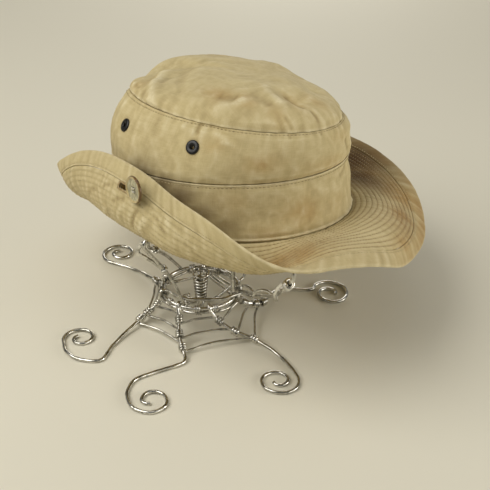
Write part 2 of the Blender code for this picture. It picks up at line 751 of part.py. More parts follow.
def main():
    clear_scene()
    group = collection("safari_hat_on_stand")
    cutters = collection("cutters")
    whole = bpy.data.objects.new("whole", None)
    hat = bpy.data.objects.new("hat_frame", None)
    stand = bpy.data.objects.new("stand_frame", None)
    for empty in (whole, hat, stand):
        group.objects.link(empty)
    hat.parent = whole
    stand.parent = whole
    tilt = Matrix.Rotation(math.radians(LEAN_LEFT), 4, "Y") @ Matrix.Rotation(math.radians(-TIP_BACK), 4, "X")
    hat_matrix = Matrix.Translation((0, 0, SEAT_HEIGHT)) @ tilt
    hat.matrix_local = hat_matrix

    twill = material("khaki_twill", (0.50, 0.41, 0.25), 0.9)
    black = material("blackened_brass", (0.03, 0.03, 0.03), 0.4, 1.0)
    horn = material("horn", (0.42, 0.36, 0.24), 0.35)
    thread = material("khaki_thread", (0.45, 0.38, 0.24), 0.9)
    steel = material("bright_wire", (0.75, 0.75, 0.74), 0.25, 1.0)

    make_crown(hat, twill, group, cutters, black)
    brim_piece = make_brim(hat, twill, group)
    make_button(hat, horn, thread, group, cutters, brim_piece)
    make_stand(stand, hat_matrix, steel, group)
    pieces = [obj for obj in group.objects if obj.type != "EMPTY"]
    stand_on_origin(whole, pieces)


main()
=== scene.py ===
"""Looks of the safari hat on its wire stand: washed twill, stitched brim, eyelets, horn button, bright wire.

Metres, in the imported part's frame. The hat is worked out in a frame of its own, as in the part's source, and
then tipped onto the stand. Angles round the head are in degrees: 0 is the wearer's left, 90 the back, 180 the
wearer's right and 270 the front.
"""

import math

import bpy
import numpy as np
from mathutils import Matrix, Vector


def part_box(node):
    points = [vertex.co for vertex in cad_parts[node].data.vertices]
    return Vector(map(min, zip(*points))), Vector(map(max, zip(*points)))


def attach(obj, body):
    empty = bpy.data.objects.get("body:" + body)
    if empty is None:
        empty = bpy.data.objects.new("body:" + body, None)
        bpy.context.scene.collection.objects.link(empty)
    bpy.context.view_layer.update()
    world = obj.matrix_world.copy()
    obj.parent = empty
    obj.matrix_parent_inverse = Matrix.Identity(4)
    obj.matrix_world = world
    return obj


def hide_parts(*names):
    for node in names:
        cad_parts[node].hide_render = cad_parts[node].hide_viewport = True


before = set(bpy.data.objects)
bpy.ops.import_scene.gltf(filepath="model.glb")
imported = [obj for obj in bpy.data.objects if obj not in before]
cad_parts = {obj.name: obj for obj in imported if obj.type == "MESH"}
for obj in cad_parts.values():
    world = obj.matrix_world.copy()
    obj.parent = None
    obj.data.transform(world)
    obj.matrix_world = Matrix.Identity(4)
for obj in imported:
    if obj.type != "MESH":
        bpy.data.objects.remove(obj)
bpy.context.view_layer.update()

# Crown, brim and button, as in the part's source
OPENING_LENGTH = 0.2002
OPENING_WIDTH = 0.1752
MIDDLE_LENGTH = 0.1916
MIDDLE_WIDTH = 0.1752
TOP_LENGTH = 0.183
TOP_WIDTH = 0.1432
BAND_HEIGHT = 0.0428
PANEL_HEIGHT = 0.038
TOP_SHIFT_LEFT = 0.0023
TOP_SHIFT_FRONT = 0.0036
TOP_SLOPE_BACK = 0.07
TOP_SLOPE_RIGHT = 0.08
SAG_ANGLE = 117
SAG_SPREAD = 16
SAG_DEPTH = 0.009
PANEL_BULGE = 0.0035
BAND_BULGE = 0.0008
CROWN_CLOTH = 0.0016
FOLD_DEPTH = 0.004
TIP_RISE = 0.023
BRIM_WIDTH = 0.066
BRIM_CLOTH = 0.0022
BINDING_WIDTH = 0.0135
BINDING_CLOTH = 0.0028
GAP = 0.0003
EYELET_ANGLES = (165, 208, 332, 15)
EYELET_LEVEL = 1.61
EYELET_HOLE = 0.0024
EYELET_BARREL = 0.0033
EYELET_FLANGE = 0.0051
EYELET_METAL = 0.0008
EYELET_PLAY = 0.0009
BUTTON_ANGLE = 193
BUTTON_SHARE = 0.80
BUTTON_RADIUS = 0.01
BUTTON_THICKNESS = 0.0027
BUTTON_RIM = 0.0022
BUTTON_DISH = 0.0009
BUTTON_HOLE = 0.0009
BUTTON_HOLE_SPREAD = 0.0018
BUTTON_FACES = (-0.985, 0.08, 0.03)
THREAD_RADIUS = 0.0008
SLOT_LENGTH = 0.022
SLOT_WIDTH = 0.0038
SLOT_ANGLE = 187
SLOT_SHARE = 0.75
SLOT_TURN = 8
THREAD_IN_SLOT = 0.007
TIP_BACK = 7.6
LEAN_LEFT = 3.5
SEAT_HEIGHT = 0.0937

# Stand, as in the part's source, but with a thicker wire in the web
STAND_RIGHT = 0.033
STAND_FRONT = 0.002
LEG_WIRE = 0.0014
ARM_WIRE = 0.0014
WEB_WIRE = 0.0010
HUB_WIRE = 0.0014
HUB_RADIUS = 0.031
HUB_HEIGHT = 0.023
LEG_REACH = 0.115
SCROLL_RADIUS = 0.0145
COIL_WIRE = 0.0008
COIL_PITCH = 0.0029
COIL_TURNS = 7
COIL_FOOT = 0.012
CORE_RADIUS = 0.003
CORE_FOOT = 0.004
CORE_HEIGHT = 0.034
SPOKE_ANGLES = (55, 150, 335)
SPOKE_SAG = 0.0125
SPOKE_FOOT = 0.0085
SEAT_APPROACH = 0.004

# Dents and bulges of the crown's wall: angle and spread, level and spread, depth as a share of FOLD_DEPTH
WALL_FOLDS = np.array((
    (212, 9, 1.95, 0.22, -0.45),
    (148, 22, 1.48, 0.42, 0.95),
    (317, 18, 1.78, 0.18, 0.70),
    (321, 16, 0.80, 0.14, -0.40),
    (318, 18, 1.06, 0.12, 0.25),
    (252, 26, 0.45, 0.30, -0.30),
    (285, 16, 1.70, 0.25, -0.30),
    (60, 30, 1.40, 0.35, 0.30),
    (100, 14, 1.20, 0.40, -0.35),
))

# Lumps and hollows of the tip: place across and along as shares of its half sizes, size, and height as a
# share of TIP_RISE
TIP_FOLDS = np.array((
    (-0.30, 0.10, 0.28, 0.05),
    (-0.62, 0.44, 0.24, -0.16),
    (0.40, 0.35, 0.30, 0.06),
    (0.10, -0.15, 0.22, -0.07),
    (0.05, -0.72, 0.16, -0.22),
    (0.52, -0.55, 0.16, -0.16),
    (-0.55, -0.35, 0.24, -0.05),
    (0.30, -0.40, 0.16, 0.08),
    (0.72, 0.10, 0.16, 0.15),
    (0.74, -0.26, 0.13, -0.12),
))

# Squareness of the tip's shoulder, by angle
SHOULDERS = np.array((
    (20, 2.8), (70, 2.8), (115, 2.1), (145, 1.25), (180, 1.9), (230, 2.7), (290, 2.6), (340, 2.4),
))

# Which way the brim's cloth runs, by angle: degrees above level at its root, inner third, outer third and
# edge, as in the part's source
BRIM_SECTIONS = np.array((
    (0, 16, 10, 9, 9),
    (25, 15, 18, 15, 8),
    (50, 6, 0, -6, -8),
    (80, -4, -12, -18, -14),
    (110, -14, -14, 4, 24),
    (135, -20, 10, 62, 110),
    (150, -12, 44, 90, 132),
    (165, -10, 64, 108, 134),
    (180, -12, 66, 110, 132),
    (195, -28, 57, 116, 134),
    (210, -46, 32, 108, 122),
    (225, -42, 7, 73, 94),
    (240, -28, -8, 29, 34),
    (255, 2, 12, 0, -20),
    (270, 16, 8, -15, -45),
    (285, 22, -4, -40, -64),
    (300, 20, -12, -45, -60),
    (315, 14, -16, -36, -44),
    (335, 12, -8, -12, -8),
))

# Legs of the stand, levels of the web and curl of a foot, as in the part's source. The curl has one row more
# here, its first, which stands for the heel.
LEG_COLUMNS = (
    "hub", "web", "stretch", "bend", "bend_out", "heel", "heel_out", "foot", "foot_out", "curl", "size",
)
LEGS = (
    (48, 38, 0.90, 33, 0.66, 32, 0.85, 24, 0.98, -1, 0.95),
    (119, 98, 0.90, 96, 0.72, 99, 0.89, 92, 1.00, -1, 0.86),
    (159, 164, 0.88, 178, 0.73, 184, 0.88, 165, 0.89, -1, 0.84),
    (200, 219, 1.00, 222, 0.63, 209, 0.79, 215, 1.04, 1, 0.96),
    (245, 274, 1.06, 276, 0.77, 272, 0.98, 264, 0.96, -1, 0.88),
    (295, 326, 0.86, 345, 0.61, 339, 0.84, 334, 0.97, -1, 1.00),
)
WEB_LEVELS = ((1.23, 0.66), (1.58, 0.43), (1.92, 0.24))
WEB_SLACK = 0.94
CURL = np.array((
    (0, 0), (80, 1.18), (140, 1.02), (230, 0.95), (320, 0.72), (410, 0.52), (500, 0.36), (560, 0.28),
))

# Arms and posts, as in the part's source
CARRIER_COLUMNS = ("hub", "angle", "share", "bow_out", "bow_up", "hairpin")
ARMS = (
    (208, 196, 0.31, 0.40, 0.45, 0.45),
    (86, 192, 0.14, 0.50, 0.50, 0),
    (305, 246, 0.80, 0.66, 0.50, 0),
    (30, 40, 0.30, 0.55, 0.45, 0),
)
POSTS = (
    (288, 252, 0.36, 0.10, 0.45, 0),
    (324, 300, 0.36, 0.35, 0.14, 0),
)

# Thickness of each post's wire as a share of an arm's, where the part has them all alike
POST_THICKNESS = (1.3, 0.85)

# The hairpin at the first arm's end: which way it bulges, and how far back and out each of its points lies
HAIRPIN_PULL = (-0.0072, 0.0060, -0.0016)
HAIRPIN_TURN = ((0, 0), (0.06, 0.35), (0.30, 1.0), (0.52, 0.72), (0.76, 0.36), (1.0, 0.10))

# Loose wires over the hub, in the stand's own frame
FRONT_STRAND = (
    (-0.0262, -0.0098, 0.0300),
    (-0.0222, -0.0130, 0.0278),
    (-0.0148, -0.0186, 0.0270),
    (-0.0067, -0.0249, 0.0272),
    (0.0005, -0.0297, 0.0274),
    (0.0068, -0.0318, 0.0284),
    (0.0150, -0.0330, 0.0280),
    (0.0200, -0.0360, 0.0290),
)
SPRING_FOOT = (-0.0100, 0.0060, 0.0060)

# Angles at which thin wire is bound round the ring
BOUND_ANGLES = (24, 66, 137, 184, 228, 251, 318)

# Camera of the photograph: directions round the hat in degrees, distances in metres
CAMERA_TURN = -39.15
CAMERA_RISE = 22.89
CAMERA_ROLL = -1.42
CAMERA_DISTANCE = 0.7705
CAMERA_RIGHT = 0.01076
CAMERA_DROP = 0.03767
CAMERA_LENS = 71.2

# Studio lights: turn from the camera's side and rise in degrees, distance and size in metres, power
LIGHTS = (
    ("left_window", -68, 48, 1.5, 1.4, 18.0),
    ("top_window", 0, 85, 1.5, 1.2, 2.0),
    ("front_window", 54, 14, 1.5, 0.8, 3.6),
    ("right_window", 84, 10, 1.5, 0.6, 7.5),
    ("back_window", 176, 10, 1.5, 0.6, 4.0),
)
LIGHT_COLOUR = (1.0, 0.975, 0.92)
AIR_STRENGTH = 0.18
AIR_SEEN = 0.66
AIR_IN_METAL = 0.16
AIR_COLOUR = (0.95, 0.93, 0.85, 1)
FLOOR_REACH = 6.0

# Creases of the wall: from an angle and level to another, width and height in metres (inwards is minus)
WALL_CREASES = (
    (207, 2.00, 208, 1.80, 0.0020, -0.0009),
    (203, 2.00, 199, 1.86, 0.0022, 0.0005),
    (213, 1.98, 226, 1.74, 0.0034, 0.0006),
    (252, 2.00, 253, 1.88, 0.0016, -0.0005),
    (271, 2.00, 274, 1.90, 0.0016, -0.0005),
    (296, 1.62, 301, 1.20, 0.0040, -0.0010),
    (303, 1.70, 309, 1.16, 0.0036, 0.0008),
    (288, 0.78, 300, 0.92, 0.0030, -0.0008),
    (268, 0.84, 292, 0.60, 0.0044, 0.0005),
    (232, 0.10, 262, 0.34, 0.0042, 0.0005),
    (222, 0.30, 246, 0.55, 0.0046, -0.0004),
    (172, 1.10, 184, 1.40, 0.0040, 0.0004),
    (236, 1.30, 252, 1.52, 0.0050, -0.0004),
    (30, 1.20, 44, 1.62, 0.0046, -0.0006),
    (64, 0.20, 82, 0.62, 0.0050, 0.0005),
    (120, 1.30, 134, 1.74, 0.0040, -0.0006),
    (140, 0.30, 152, 0.72, 0.0042, 0.0005),
    (344, 0.22, 358, 0.58, 0.0044, -0.0005),
)

# Creases of the flap's outer face: from an angle and share to another, width and height in metres
FLAP_CREASES = (
    (194, 0.64, 190, 0.34, 0.0022, -0.0010),
    (198, 0.62, 194, 0.36, 0.0026, 0.0007),
    (188, 0.66, 178, 0.52, 0.0024, -0.0006),
    (186, 0.58, 181, 0.34, 0.0022, 0.0005),
    (181, 0.72, 170, 0.62, 0.0020, -0.0005),
    (201, 0.70, 209, 0.58, 0.0022, -0.0006),
    (205, 0.76, 216, 0.66, 0.0026, 0.0005),
    (213, 0.66, 222, 0.52, 0.0024, -0.0005),
    (168, 0.60, 158, 0.44, 0.0026, -0.0005),
    (175, 0.44, 168, 0.26, 0.0024, 0.0005),
)

# Creases of the tip: from a place across and along to another, width and height in metres
TIP_CREASES = (
    (-0.84, -0.50, -0.42, -0.62, 0.0050, 0.0011),
    (-0.62, -0.40, -0.50, -0.56, 0.0070, -0.0012),
    (-0.30, 0.55, -1.10, -0.06, 0.0052, 0.0026),
    (-0.20, 0.36, -0.92, -0.22, 0.0075, -0.0018),
    (-0.10, -0.46, -0.24, -0.84, 0.0050, 0.0015),
    (0.02, -0.60, 0.02, -0.88, 0.0040, -0.0013),
    (-0.34, -0.50, -0.30, -0.80, 0.0060, -0.0012),
    (-0.29, -0.88, -0.27, -0.99, 0.0015, -0.0006),
    (0.05, -0.88, 0.06, -0.99, 0.0015, -0.0006),
    (-0.80, 0.50, -0.88, 0.36, 0.0018, -0.0008),
    (-0.78, 0.20, -0.52, 0.30, 0.0050, -0.0007),
    (-0.20, -0.42, 0.22, -0.56, 0.0070, 0.0006),
    (0.10, -0.78, 0.34, -0.66, 0.0045, 0.0007),
    (-0.10, 0.30, 0.24, 0.52, 0.0080, -0.0006),
    (0.44, 0.10, 0.70, -0.16, 0.0060, 0.0006),
    (0.30, 0.72, 0.58, 0.60, 0.0040, 0.0005),
)

# Stains of the wall: angle and level, spread in degrees and in levels, strength
WALL_STAINS = (
    (241, 1.42, 8, 0.18, 0.55),
    (262, 0.42, 11, 0.26, 0.60),
    (284, 0.34, 9, 0.22, 0.25),
    (276, 1.22, 12, 0.16, 0.30),
    (246, 0.16, 9, 0.12, 0.40),
    (228, 0.74, 7, 0.16, 0.30),
    (216, 1.70, 8, 0.14, 0.30),
    (292, 1.72, 10, 0.20, 0.35),
    (98, 0.60, 12, 0.30, 0.35),
    (30, 1.50, 14, 0.24, 0.30),
)

# Painted shade in the corners under the brim: angle and level, spread in degrees and in levels, strength
WALL_SHADE = (
    (198, 0.92, 7, 0.16, 0.70),
    (206, 0.76, 8, 0.24, 0.72),
    (214, 0.50, 9, 0.24, 0.55),
    (222, 0.26, 9, 0.20, 0.40),
    (232, 0.02, 12, 0.12, 0.34),
    (185, 0.80, 10, 0.40, 0.85),
)

# Painted shade on the brim, most in the pocket behind the crown: angle and share of the brim's width, spread
# in degrees and in shares, strength
BRIM_SHADE = (
    (356, 0.58, 18, 0.62, 0.88),
    (342, 0.36, 15, 0.36, 0.80),
    (308, 0.68, 14, 0.22, 0.25),
    (318, 0.96, 30, 0.10, 0.16),
    (318, 0.02, 20, 0.06, 0.35),
    (248, 0.45, 14, 0.22, 0.20),
)

# Stains of the tip: place across and along, size as a share of its half sizes, strength
TIP_STAINS = (
    (-0.60, -0.40, 0.13, 0.60),
    (-0.48, -0.60, 0.12, 0.45),
    (0.00, -0.78, 0.14, 0.45),
    (0.24, -0.80, 0.12, 0.35),
    (-0.34, -0.84, 0.12, 0.30),
    (-0.82, 0.44, 0.12, 0.40),
    (0.40, 0.60, 0.20, 0.30),
)

# Stains of the brim: angle and share of its width, spread in degrees and in shares, strength. The last, in the
# pocket behind the crown, is part stain and part painted shade.
BRIM_STAINS_AND_SHADE = (
    (308, 0.62, 14, 0.22, 1.00),
    (292, 0.78, 12, 0.14, 0.80),
    (330, 0.72, 16, 0.32, 1.00),
    (344, 0.45, 16, 0.30, 1.00),
    (246, 0.50, 12, 0.26, 1.00),
    (318, 0.94, 34, 0.14, 0.90),
    (354, 0.92, 14, 0.16, 0.80),
    (165, 0.55, 9, 0.16, 0.35),
    (212, 0.40, 9, 0.18, 0.25),
    (70, 0.50, 16, 0.25, 0.40),
    (352, 0.60, 22, 0.40, 0.80),
)

# How finely the cloth and the wires are divided
WALL_COLUMNS = 496
BAND_LINES = 78
PANEL_LINES = 80
BRIM_COLUMNS = 560
BRIM_LINES = 74
TIP_COLUMNS = 400
TIP_RINGS = 100
EYELET_SIDES = 40
BUTTON_SIDES = 96
WIRE_SIDES = 12
STITCH_SIDES = 4
SHARP_ANGLE = 48

# Stitching
STITCH_PITCH = 0.0029
STITCH_LENGTH = 0.0021
STITCH_THREAD = 0.00028
BRIM_ROWS = 12
FIRST_ROW = 0.0036
LAST_ROW = 0.0036
RIB_BELOW = 0.00011
RIB_ABOVE = 0.00030
BUTTONHOLE_STITCHES = 58

# Places along a stitch and its girth there, both as shares, and how far its ends sink
STITCH_PROFILE = np.array(((-1, 0), (-0.6, 0.85), (0, 1.0), (0.6, 0.85), (1.0, 0)))
STITCH_SINK = 0.5

# Seams: how far the ridges and the stitches lie from them
RIDGE_FROM_SEAM = 0.0007
STITCH_FROM_MIDDLE_SEAM = 0.0024
STITCH_FROM_TIP_SEAM = 0.0018
LAP_UNDER_BAND = 0.0025
LAP_UNDER_TIP = 0.0012
RIDGE_OVER_BRIM = 0.0025
STITCH_ON_BINDING = 0.0019

# Ridges: height and width of the roll over the brim, of the fold at the middle seam and of the tip's roll
BRIM_ROLL = (0.0013, 0.0009)
SEAM_FOLD = (0.0004, 0.0005)
TIP_ROLL = (0.0005, 0.0006)
TIP_ROLL_FROM_SEAM = 0.0006

# Button: depth and blur of its holes, and thickness of the thread in them
PIT_DEPTH = 0.0014
PIT_BLUR = 0.00022
BUTTON_SEWING = 0.00022

STAND_MIDDLE = np.array([-STAND_RIGHT, -STAND_FRONT, 0.0])


def shift_of_stand():
    """How far the part's source moved the whole to put its origin in the middle of its underside."""
    low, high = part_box("hub_ring")
    middle = (Vector(low) + Vector(high)) / 2
    return np.array(middle) - (STAND_MIDDLE + np.array([0, 0, HUB_HEIGHT]))


SHIFT = shift_of_stand()
HAT = (
    Matrix.Translation((*SHIFT[:2], SEAT_HEIGHT))
    @ Matrix.Rotation(math.radians(LEAN_LEFT), 4, "Y")
    @ Matrix.Rotation(math.radians(-TIP_BACK), 4, "X")
)
HAT_TURN = np.array(HAT.to_3x3())
HAT_PLACE = np.array(HAT.translation)


def on_hat(points):
    """Points of the hat's own frame, tipped onto the stand."""
    return points @ HAT_TURN.T + HAT_PLACE


# Vectors, noise and curves

def unit(vectors):
    """The vectors at length 1."""
    return vectors / np.linalg.norm(vectors, axis=-1, keepdims=True)


def swung(radius, turn, height):
    """Points that far from the third axis, at that turn in radians and that height."""
    return np.stack(np.broadcast_arrays(radius * np.cos(turn), radius * np.sin(turn), height), -1)


def lumps(points, size, seed):
    """Smooth noise from about -1 to 1: random slopes on a cubic grid of that size, blended at each point."""
    slopes = unit(np.random.default_rng(seed).normal(size=(32, 32, 32, 3)))
    at = np.asarray(points, float) / size
    cell = np.floor(at).astype(int)
    part = at - cell
    blend = part**3 * (part * (part * 6 - 15) + 10)
    total = np.zeros(at.shape[:-1])
    for corner in np.ndindex(2, 2, 2):
        index = (cell + corner) % 32
        slope = slopes[index[..., 0], index[..., 1], index[..., 2]]
        weight = np.where(corner, blend, 1 - blend).prod(axis=-1)
        total += weight * (slope * (part - corner)).sum(axis=-1)
    return 1.6 * total


def creases(points, size, seed):
    """Noise with soft hollows and narrow crests: one less the size of the smooth noise, sharpened, 0 to 1."""
    return np.clip(1 - 1.6 * np.abs(lumps(points, size, seed)), 0, 1) ** 2


def hump(distance, width):
    """A rounded hump of height 1: the bell curve of the distance over the width."""
    return np.exp(-((distance / width) ** 2))


def ridge_at(distance, ridge):
    """A hump with the height and width of that ridge."""
    height, width = ridge
    return height * hump(distance, width)


def around(angles, table):
    """Values at any angle on a periodic cubic spline through the table, whose first column is the angle."""
    stations, values = table[:, 0], table[:, 1:]
    count = len(stations)
    ends = np.append(stations, stations[0] + 360.0)
    steps = np.diff(ends)
    looped = np.vstack([values, values[:1]])
    slopes = np.diff(looped, axis=0) / steps[:, None]
    here = np.arange(count)
    matrix = np.zeros((count, count))
    matrix[here, here] = 2 * (steps[here - 1] + steps)
    matrix[here, here - 1] += steps[here - 1]
    matrix[here, (here + 1) % count] += steps
    bends = np.linalg.solve(matrix, 6 * (slopes - np.roll(slopes, 1, axis=0)))
    bends = np.vstack([bends, bends[:1]])
    angles = np.asarray(angles, float)
    turned = (angles - stations[0]) % 360 + stations[0]
    i = np.clip(np.searchsorted(ends, turned, side="right") - 1, 0, count - 1)
    step = steps[i][..., None]
    before = (ends[i + 1] - turned)[..., None] / step
    after = 1 - before
    curve = (before**3 - before) * bends[i] + (after**3 - after) * bends[i + 1]
    return before * looped[i] + after * looped[i + 1] + curve * step**2 / 6


def smooth(points, per_span):
    """Points on a smooth curve (Catmull-Rom) through the given ones."""
    points = np.asarray(points, float)
    padded = np.vstack([2 * points[0] - points[1], points, 2 * points[-1] - points[-2]])
    a, b, c, d = (padded[i : len(padded) - 3 + i, None] for i in range(4))
    t = (np.arange(per_span) / per_span)[None, :, None]
    bend = 2 * b + (c - a) * t + (2 * a - 5 * b + 4 * c - d) * t**2 + (3 * b - 3 * c + d - a) * t**3
    return np.vstack([bend.reshape(-1, 3) / 2, points[-1:]])


def spaced(path, step):
    """The path again, with points at even steps along it."""
    run = np.append(0, np.cumsum(np.linalg.norm(np.diff(path, axis=0), axis=1)))
    at = np.linspace(0, run[-1], max(2, int(round(run[-1] / step)) + 1))
    return np.stack([np.interp(at, run, path[:, k]) for k in range(path.shape[1])], -1)


# Shapes of the hat, as in the part's source

def outward(angle):
    """Unit direction in plan that points away from the crown, square to the opening's ring."""
    turn = np.radians(angle)
    return unit(np.stack([np.cos(turn) / OPENING_WIDTH, np.sin(turn) / OPENING_LENGTH], -1))


def ring(angle, width, length, height, left=0.0, back=0.0, slope_back=0.0, slope_left=0.0):
    """Points of an oval ring, which may be shifted and sloped."""
    turn = np.radians(angle)
    x = width / 2 * np.cos(turn)
    y = length / 2 * np.sin(turn)
    return np.stack([x + left, y + back, height + slope_back * y + slope_left * x], -1)


def top_seam(angle):
    """The ring where the wall meets the tip: shifted, sloped, and sagging in a bell shape at one place."""
    seam = ring(
        angle, TOP_WIDTH, TOP_LENGTH, BAND_HEIGHT + PANEL_HEIGHT,
        TOP_SHIFT_LEFT, -TOP_SHIFT_FRONT, TOP_SLOPE_BACK, -TOP_SLOPE_RIGHT,
    )
    off = (np.asarray(angle, float) - SAG_ANGLE + 180) % 360 - 180
    seam[..., 2] -= SAG_DEPTH * np.exp(-((off / SAG_SPREAD) ** 2))
    return seam


def wall(angle, level):
    """The crown's outer face: straight between its seams, plus a bulge and a bell-shaped push per fold."""
    angle, level = np.broadcast_arrays(np.asarray(angle, float), np.asarray(level, float))
    base = ring(angle, OPENING_WIDTH, OPENING_LENGTH, 0.0)
    middle = ring(angle, MIDDLE_WIDTH, MIDDLE_LENGTH, BAND_HEIGHT)
    top = top_seam(angle)
    low = np.clip(level, -1, 1)[..., None]
    high = np.clip(level - 1, 0, 2)[..., None]
    point = np.where(level[..., None] < 1, base + (middle - base) * low, middle + (top - middle) * high)
    push = BAND_BULGE * np.clip(4 * low * (1 - low), 0, 1)
    push = push + PANEL_BULGE * np.clip(4 * high * (1 - high), 0, 1)
    for fold_angle, fold_spread, fold_level, level_spread, depth in WALL_FOLDS:
        across = ((angle - fold_angle + 180) % 360 - 180) / fold_spread
        up = (level - fold_level) / level_spread
        push = push + (FOLD_DEPTH * depth * np.exp(-(across**2) - up**2))[..., None]
    point[..., :2] += outward(angle) * push
    return point


def tip(angle, share):
    """The tip's outer face: a puffed dome over its seam, with lumps. Share 0 is its middle and 1 its seam."""
    angle, share = np.broadcast_arrays(np.asarray(angle, float), np.asarray(share, float))
    seam = top_seam(angle)
    middle = np.mean(top_seam(np.arange(0, 360, 10.0)), axis=0)
    point = middle + (seam - middle) * share[..., None]
    squareness = around(angle, SHOULDERS)[..., 0]
    dome = np.clip(1 - share**squareness, 0, 1) ** (1 / 2)
    across = share * np.cos(np.radians(angle))
    along = share * np.sin(np.radians(angle))
    height = np.zeros_like(share)
    for fold_across, fold_along, size, rise in TIP_FOLDS:
        away = ((across - fold_across) ** 2 + (along - fold_along) ** 2) / size**2
        height = height + rise * np.exp(-away)
    point[..., 2] += TIP_RISE * (dome + height * np.clip(4 * (1 - share), 0, 1))
    return point


def brim(angle, share):
    """The middle of the brim's cloth and its lower face's normal, at every angle and share of its width.

    At each angle the cloth follows a curve whose direction is a cubic through the four directions of the
    table. Adding up short steps along it gives how far out and up it gets.
    """
    directions = around(angle, BRIM_SECTIONS)
    steps = np.linspace(0, 1, 241)
    knots = np.linspace(0, 1, directions.shape[1])
    others = [np.delete(knots, i) for i in range(len(knots))]
    weights = np.array([np.prod((steps[:, None] - o) / (k - o), axis=1) for k, o in zip(knots, others)])
    run = np.radians(directions @ weights)
    lengths = BRIM_WIDTH * np.diff(steps)
    out = np.zeros_like(run)
    up = np.zeros_like(run)
    out[:, 1:] = np.cumsum((np.cos(run[:, 1:]) + np.cos(run[:, :-1])) / 2 * lengths, axis=1)
    up[:, 1:] = np.cumsum((np.sin(run[:, 1:]) + np.sin(run[:, :-1])) / 2 * lengths, axis=1)
    out += GAP + BRIM_CLOTH / 2 * np.abs(np.sin(run[:, :1]))
    at = np.clip(share, 0, 1) * (len(steps) - 1)
    low = np.minimum(at.astype(int), len(steps) - 2)
    part = at - low
    out, up, turn = (each[:, low] * (1 - part) + each[:, low + 1] * part for each in (out, up, run))
    base = ring(angle, OPENING_WIDTH, OPENING_LENGTH, 0.0)[:, None]
    away = outward(angle)[:, None]
    points = base + np.concatenate([away * out[..., None], up[..., None]], -1)
    normals = np.concatenate([away * np.sin(turn)[..., None], -np.cos(turn)[..., None]], -1)
    return points, normals


def normals_of(grid):
    """Outward normals of a grid that is closed round: its two directions, by central differences, crossed."""
    along = np.roll(grid, -1, axis=0) - np.roll(grid, 1, axis=0)
    across = np.gradient(grid, axis=1)
    normal = np.cross(along, across)
    return normal / np.maximum(np.linalg.norm(normal, axis=-1, keepdims=True), 1e-12)


# Meshes

def grid_index(count, depth):
    """Numbers of a grid's points, the numbers one column on, closed round, and the quads between them."""
    index = np.arange(count * depth).reshape(count, depth)
    after = np.roll(index, -1, axis=0)
    return index, after, between_columns(index)


def between_columns(index):
    """The four corners' values of each face of a grid that is closed round."""
    after = np.roll(index, -1, axis=0)
    return np.stack([index[:, :-1], after[:, :-1], after[:, 1:], index[:, 1:]], -1)


def finish_mesh(name, points, faces, corner_uv, values, skin):
    """A piece from points, faces and corner coordinates, turned the right way round by its signed volume."""
    points = np.asarray(points, float)
    sizes = np.array([len(face) for face in faces])
    first = np.concatenate(faces)
    starts = np.append(0, np.cumsum(sizes))[:-1]
    a = points[first[starts]]
    fan = []
    for step in (1, 2):
        b = points[first[starts + step]]
        c = points[first[starts + np.minimum(step + 1, sizes - 1)]]
        fan.append(np.einsum("ij,ij->i", a, np.cross(b, c)).sum())
    if sum(fan) < 0:
        faces = [face[::-1] for face in faces]
        if corner_uv is not None:
            corner_uv = [corners[::-1] for corners in corner_uv]
    mesh = bpy.data.meshes.new(name)
    mesh.from_pydata(points.tolist(), [], faces)
    if corner_uv is not None:
        layer = mesh.uv_layers.new(name="cloth")
        layer.data.foreach_set("uv", np.concatenate(corner_uv).astype(np.float32).ravel())
    for key, numbers in values.items():
        layer = mesh.attributes.new(key, "FLOAT", "POINT")
        layer.data.foreach_set("value", np.asarray(numbers, np.float32).ravel())
    mesh.shade_smooth()
    mesh.set_sharp_from_angle(angle=math.radians(SHARP_ANGLE))
    obj = bpy.data.objects.new(name, mesh)
    bpy.context.scene.collection.objects.link(obj)
    obj.data.materials.append(skin)
    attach(obj, "root")
    return obj


def cloth_piece(name, outer, inner, uv, values, skin, cut=None, poles=None, inner_values=None):
    """A closed piece of cloth from two matching grids, closed round and running across.

    It has the outer face, the inner face turned over, quads that join the two along both edges and round any
    cut-out, and fans to a pole where there is one.
    """
    count, depth = outer.shape[:2]
    total = count * depth
    index, after, quad = grid_index(count, depth)
    corner = np.stack([uv[:-1, :-1], uv[1:, :-1], uv[1:, 1:], uv[:-1, 1:]], 2)
    kept = np.ones((count, depth - 1), bool) if cut is None else ~cut
    edge = np.zeros((count, 1), bool)
    missing = (
        np.concatenate([edge, kept[:, :-1]], 1),
        np.roll(kept, -1, axis=0),
        np.concatenate([kept[:, 1:], edge | (poles is not None)], 1),
        np.roll(kept, 1, axis=0),
    )
    faces = [quad[kept], quad[kept][:, ::-1] + total]
    corners = [corner[kept], corner[kept][:, ::-1]]
    for side, there in enumerate(missing):
        here = kept & ~there
        p, q = quad[here][:, side], quad[here][:, (side + 1) % 4]
        uv_p, uv_q = corner[here][:, side], corner[here][:, (side + 1) % 4]
        faces.append(np.stack([q, p, p + total, q + total], -1))
        corners.append(np.stack([uv_q, uv_p, uv_p, uv_q], 1))
    points = [outer.reshape(-1, 3), inner.reshape(-1, 3)]
    faces = [face for group in faces for face in group.tolist()]
    corners = [face for group in corners for face in group]
    inner_values = inner_values or values
    numbers = {key: [value.ravel(), inner_values[key].ravel()] for key, value in values.items()}
    if poles is not None:
        outer_pole, inner_pole, pole_uv = poles
        points += [outer_pole[None], inner_pole[None]]
        for offset, pole, turn in ((0, 2 * total, 1), (total, 2 * total + 1, -1)):
            fan = np.stack([after[:, -1] + offset, index[:, -1] + offset, np.full(count, pole)], -1)
            fan_uv = np.stack([uv[1:, -1], uv[:-1, -1], np.broadcast_to(pole_uv, (count, 2))], 1)
            faces += fan[:, ::-turn].tolist()
            corners += list(fan_uv[:, ::-turn])
        numbers = {key: value + [np.full(2, value[0][-1])] for key, value in numbers.items()}
    numbers = {key: np.concatenate(value) for key, value in numbers.items()}
    return finish_mesh(name, on_hat(np.vstack(points)), faces, corners, numbers, skin)


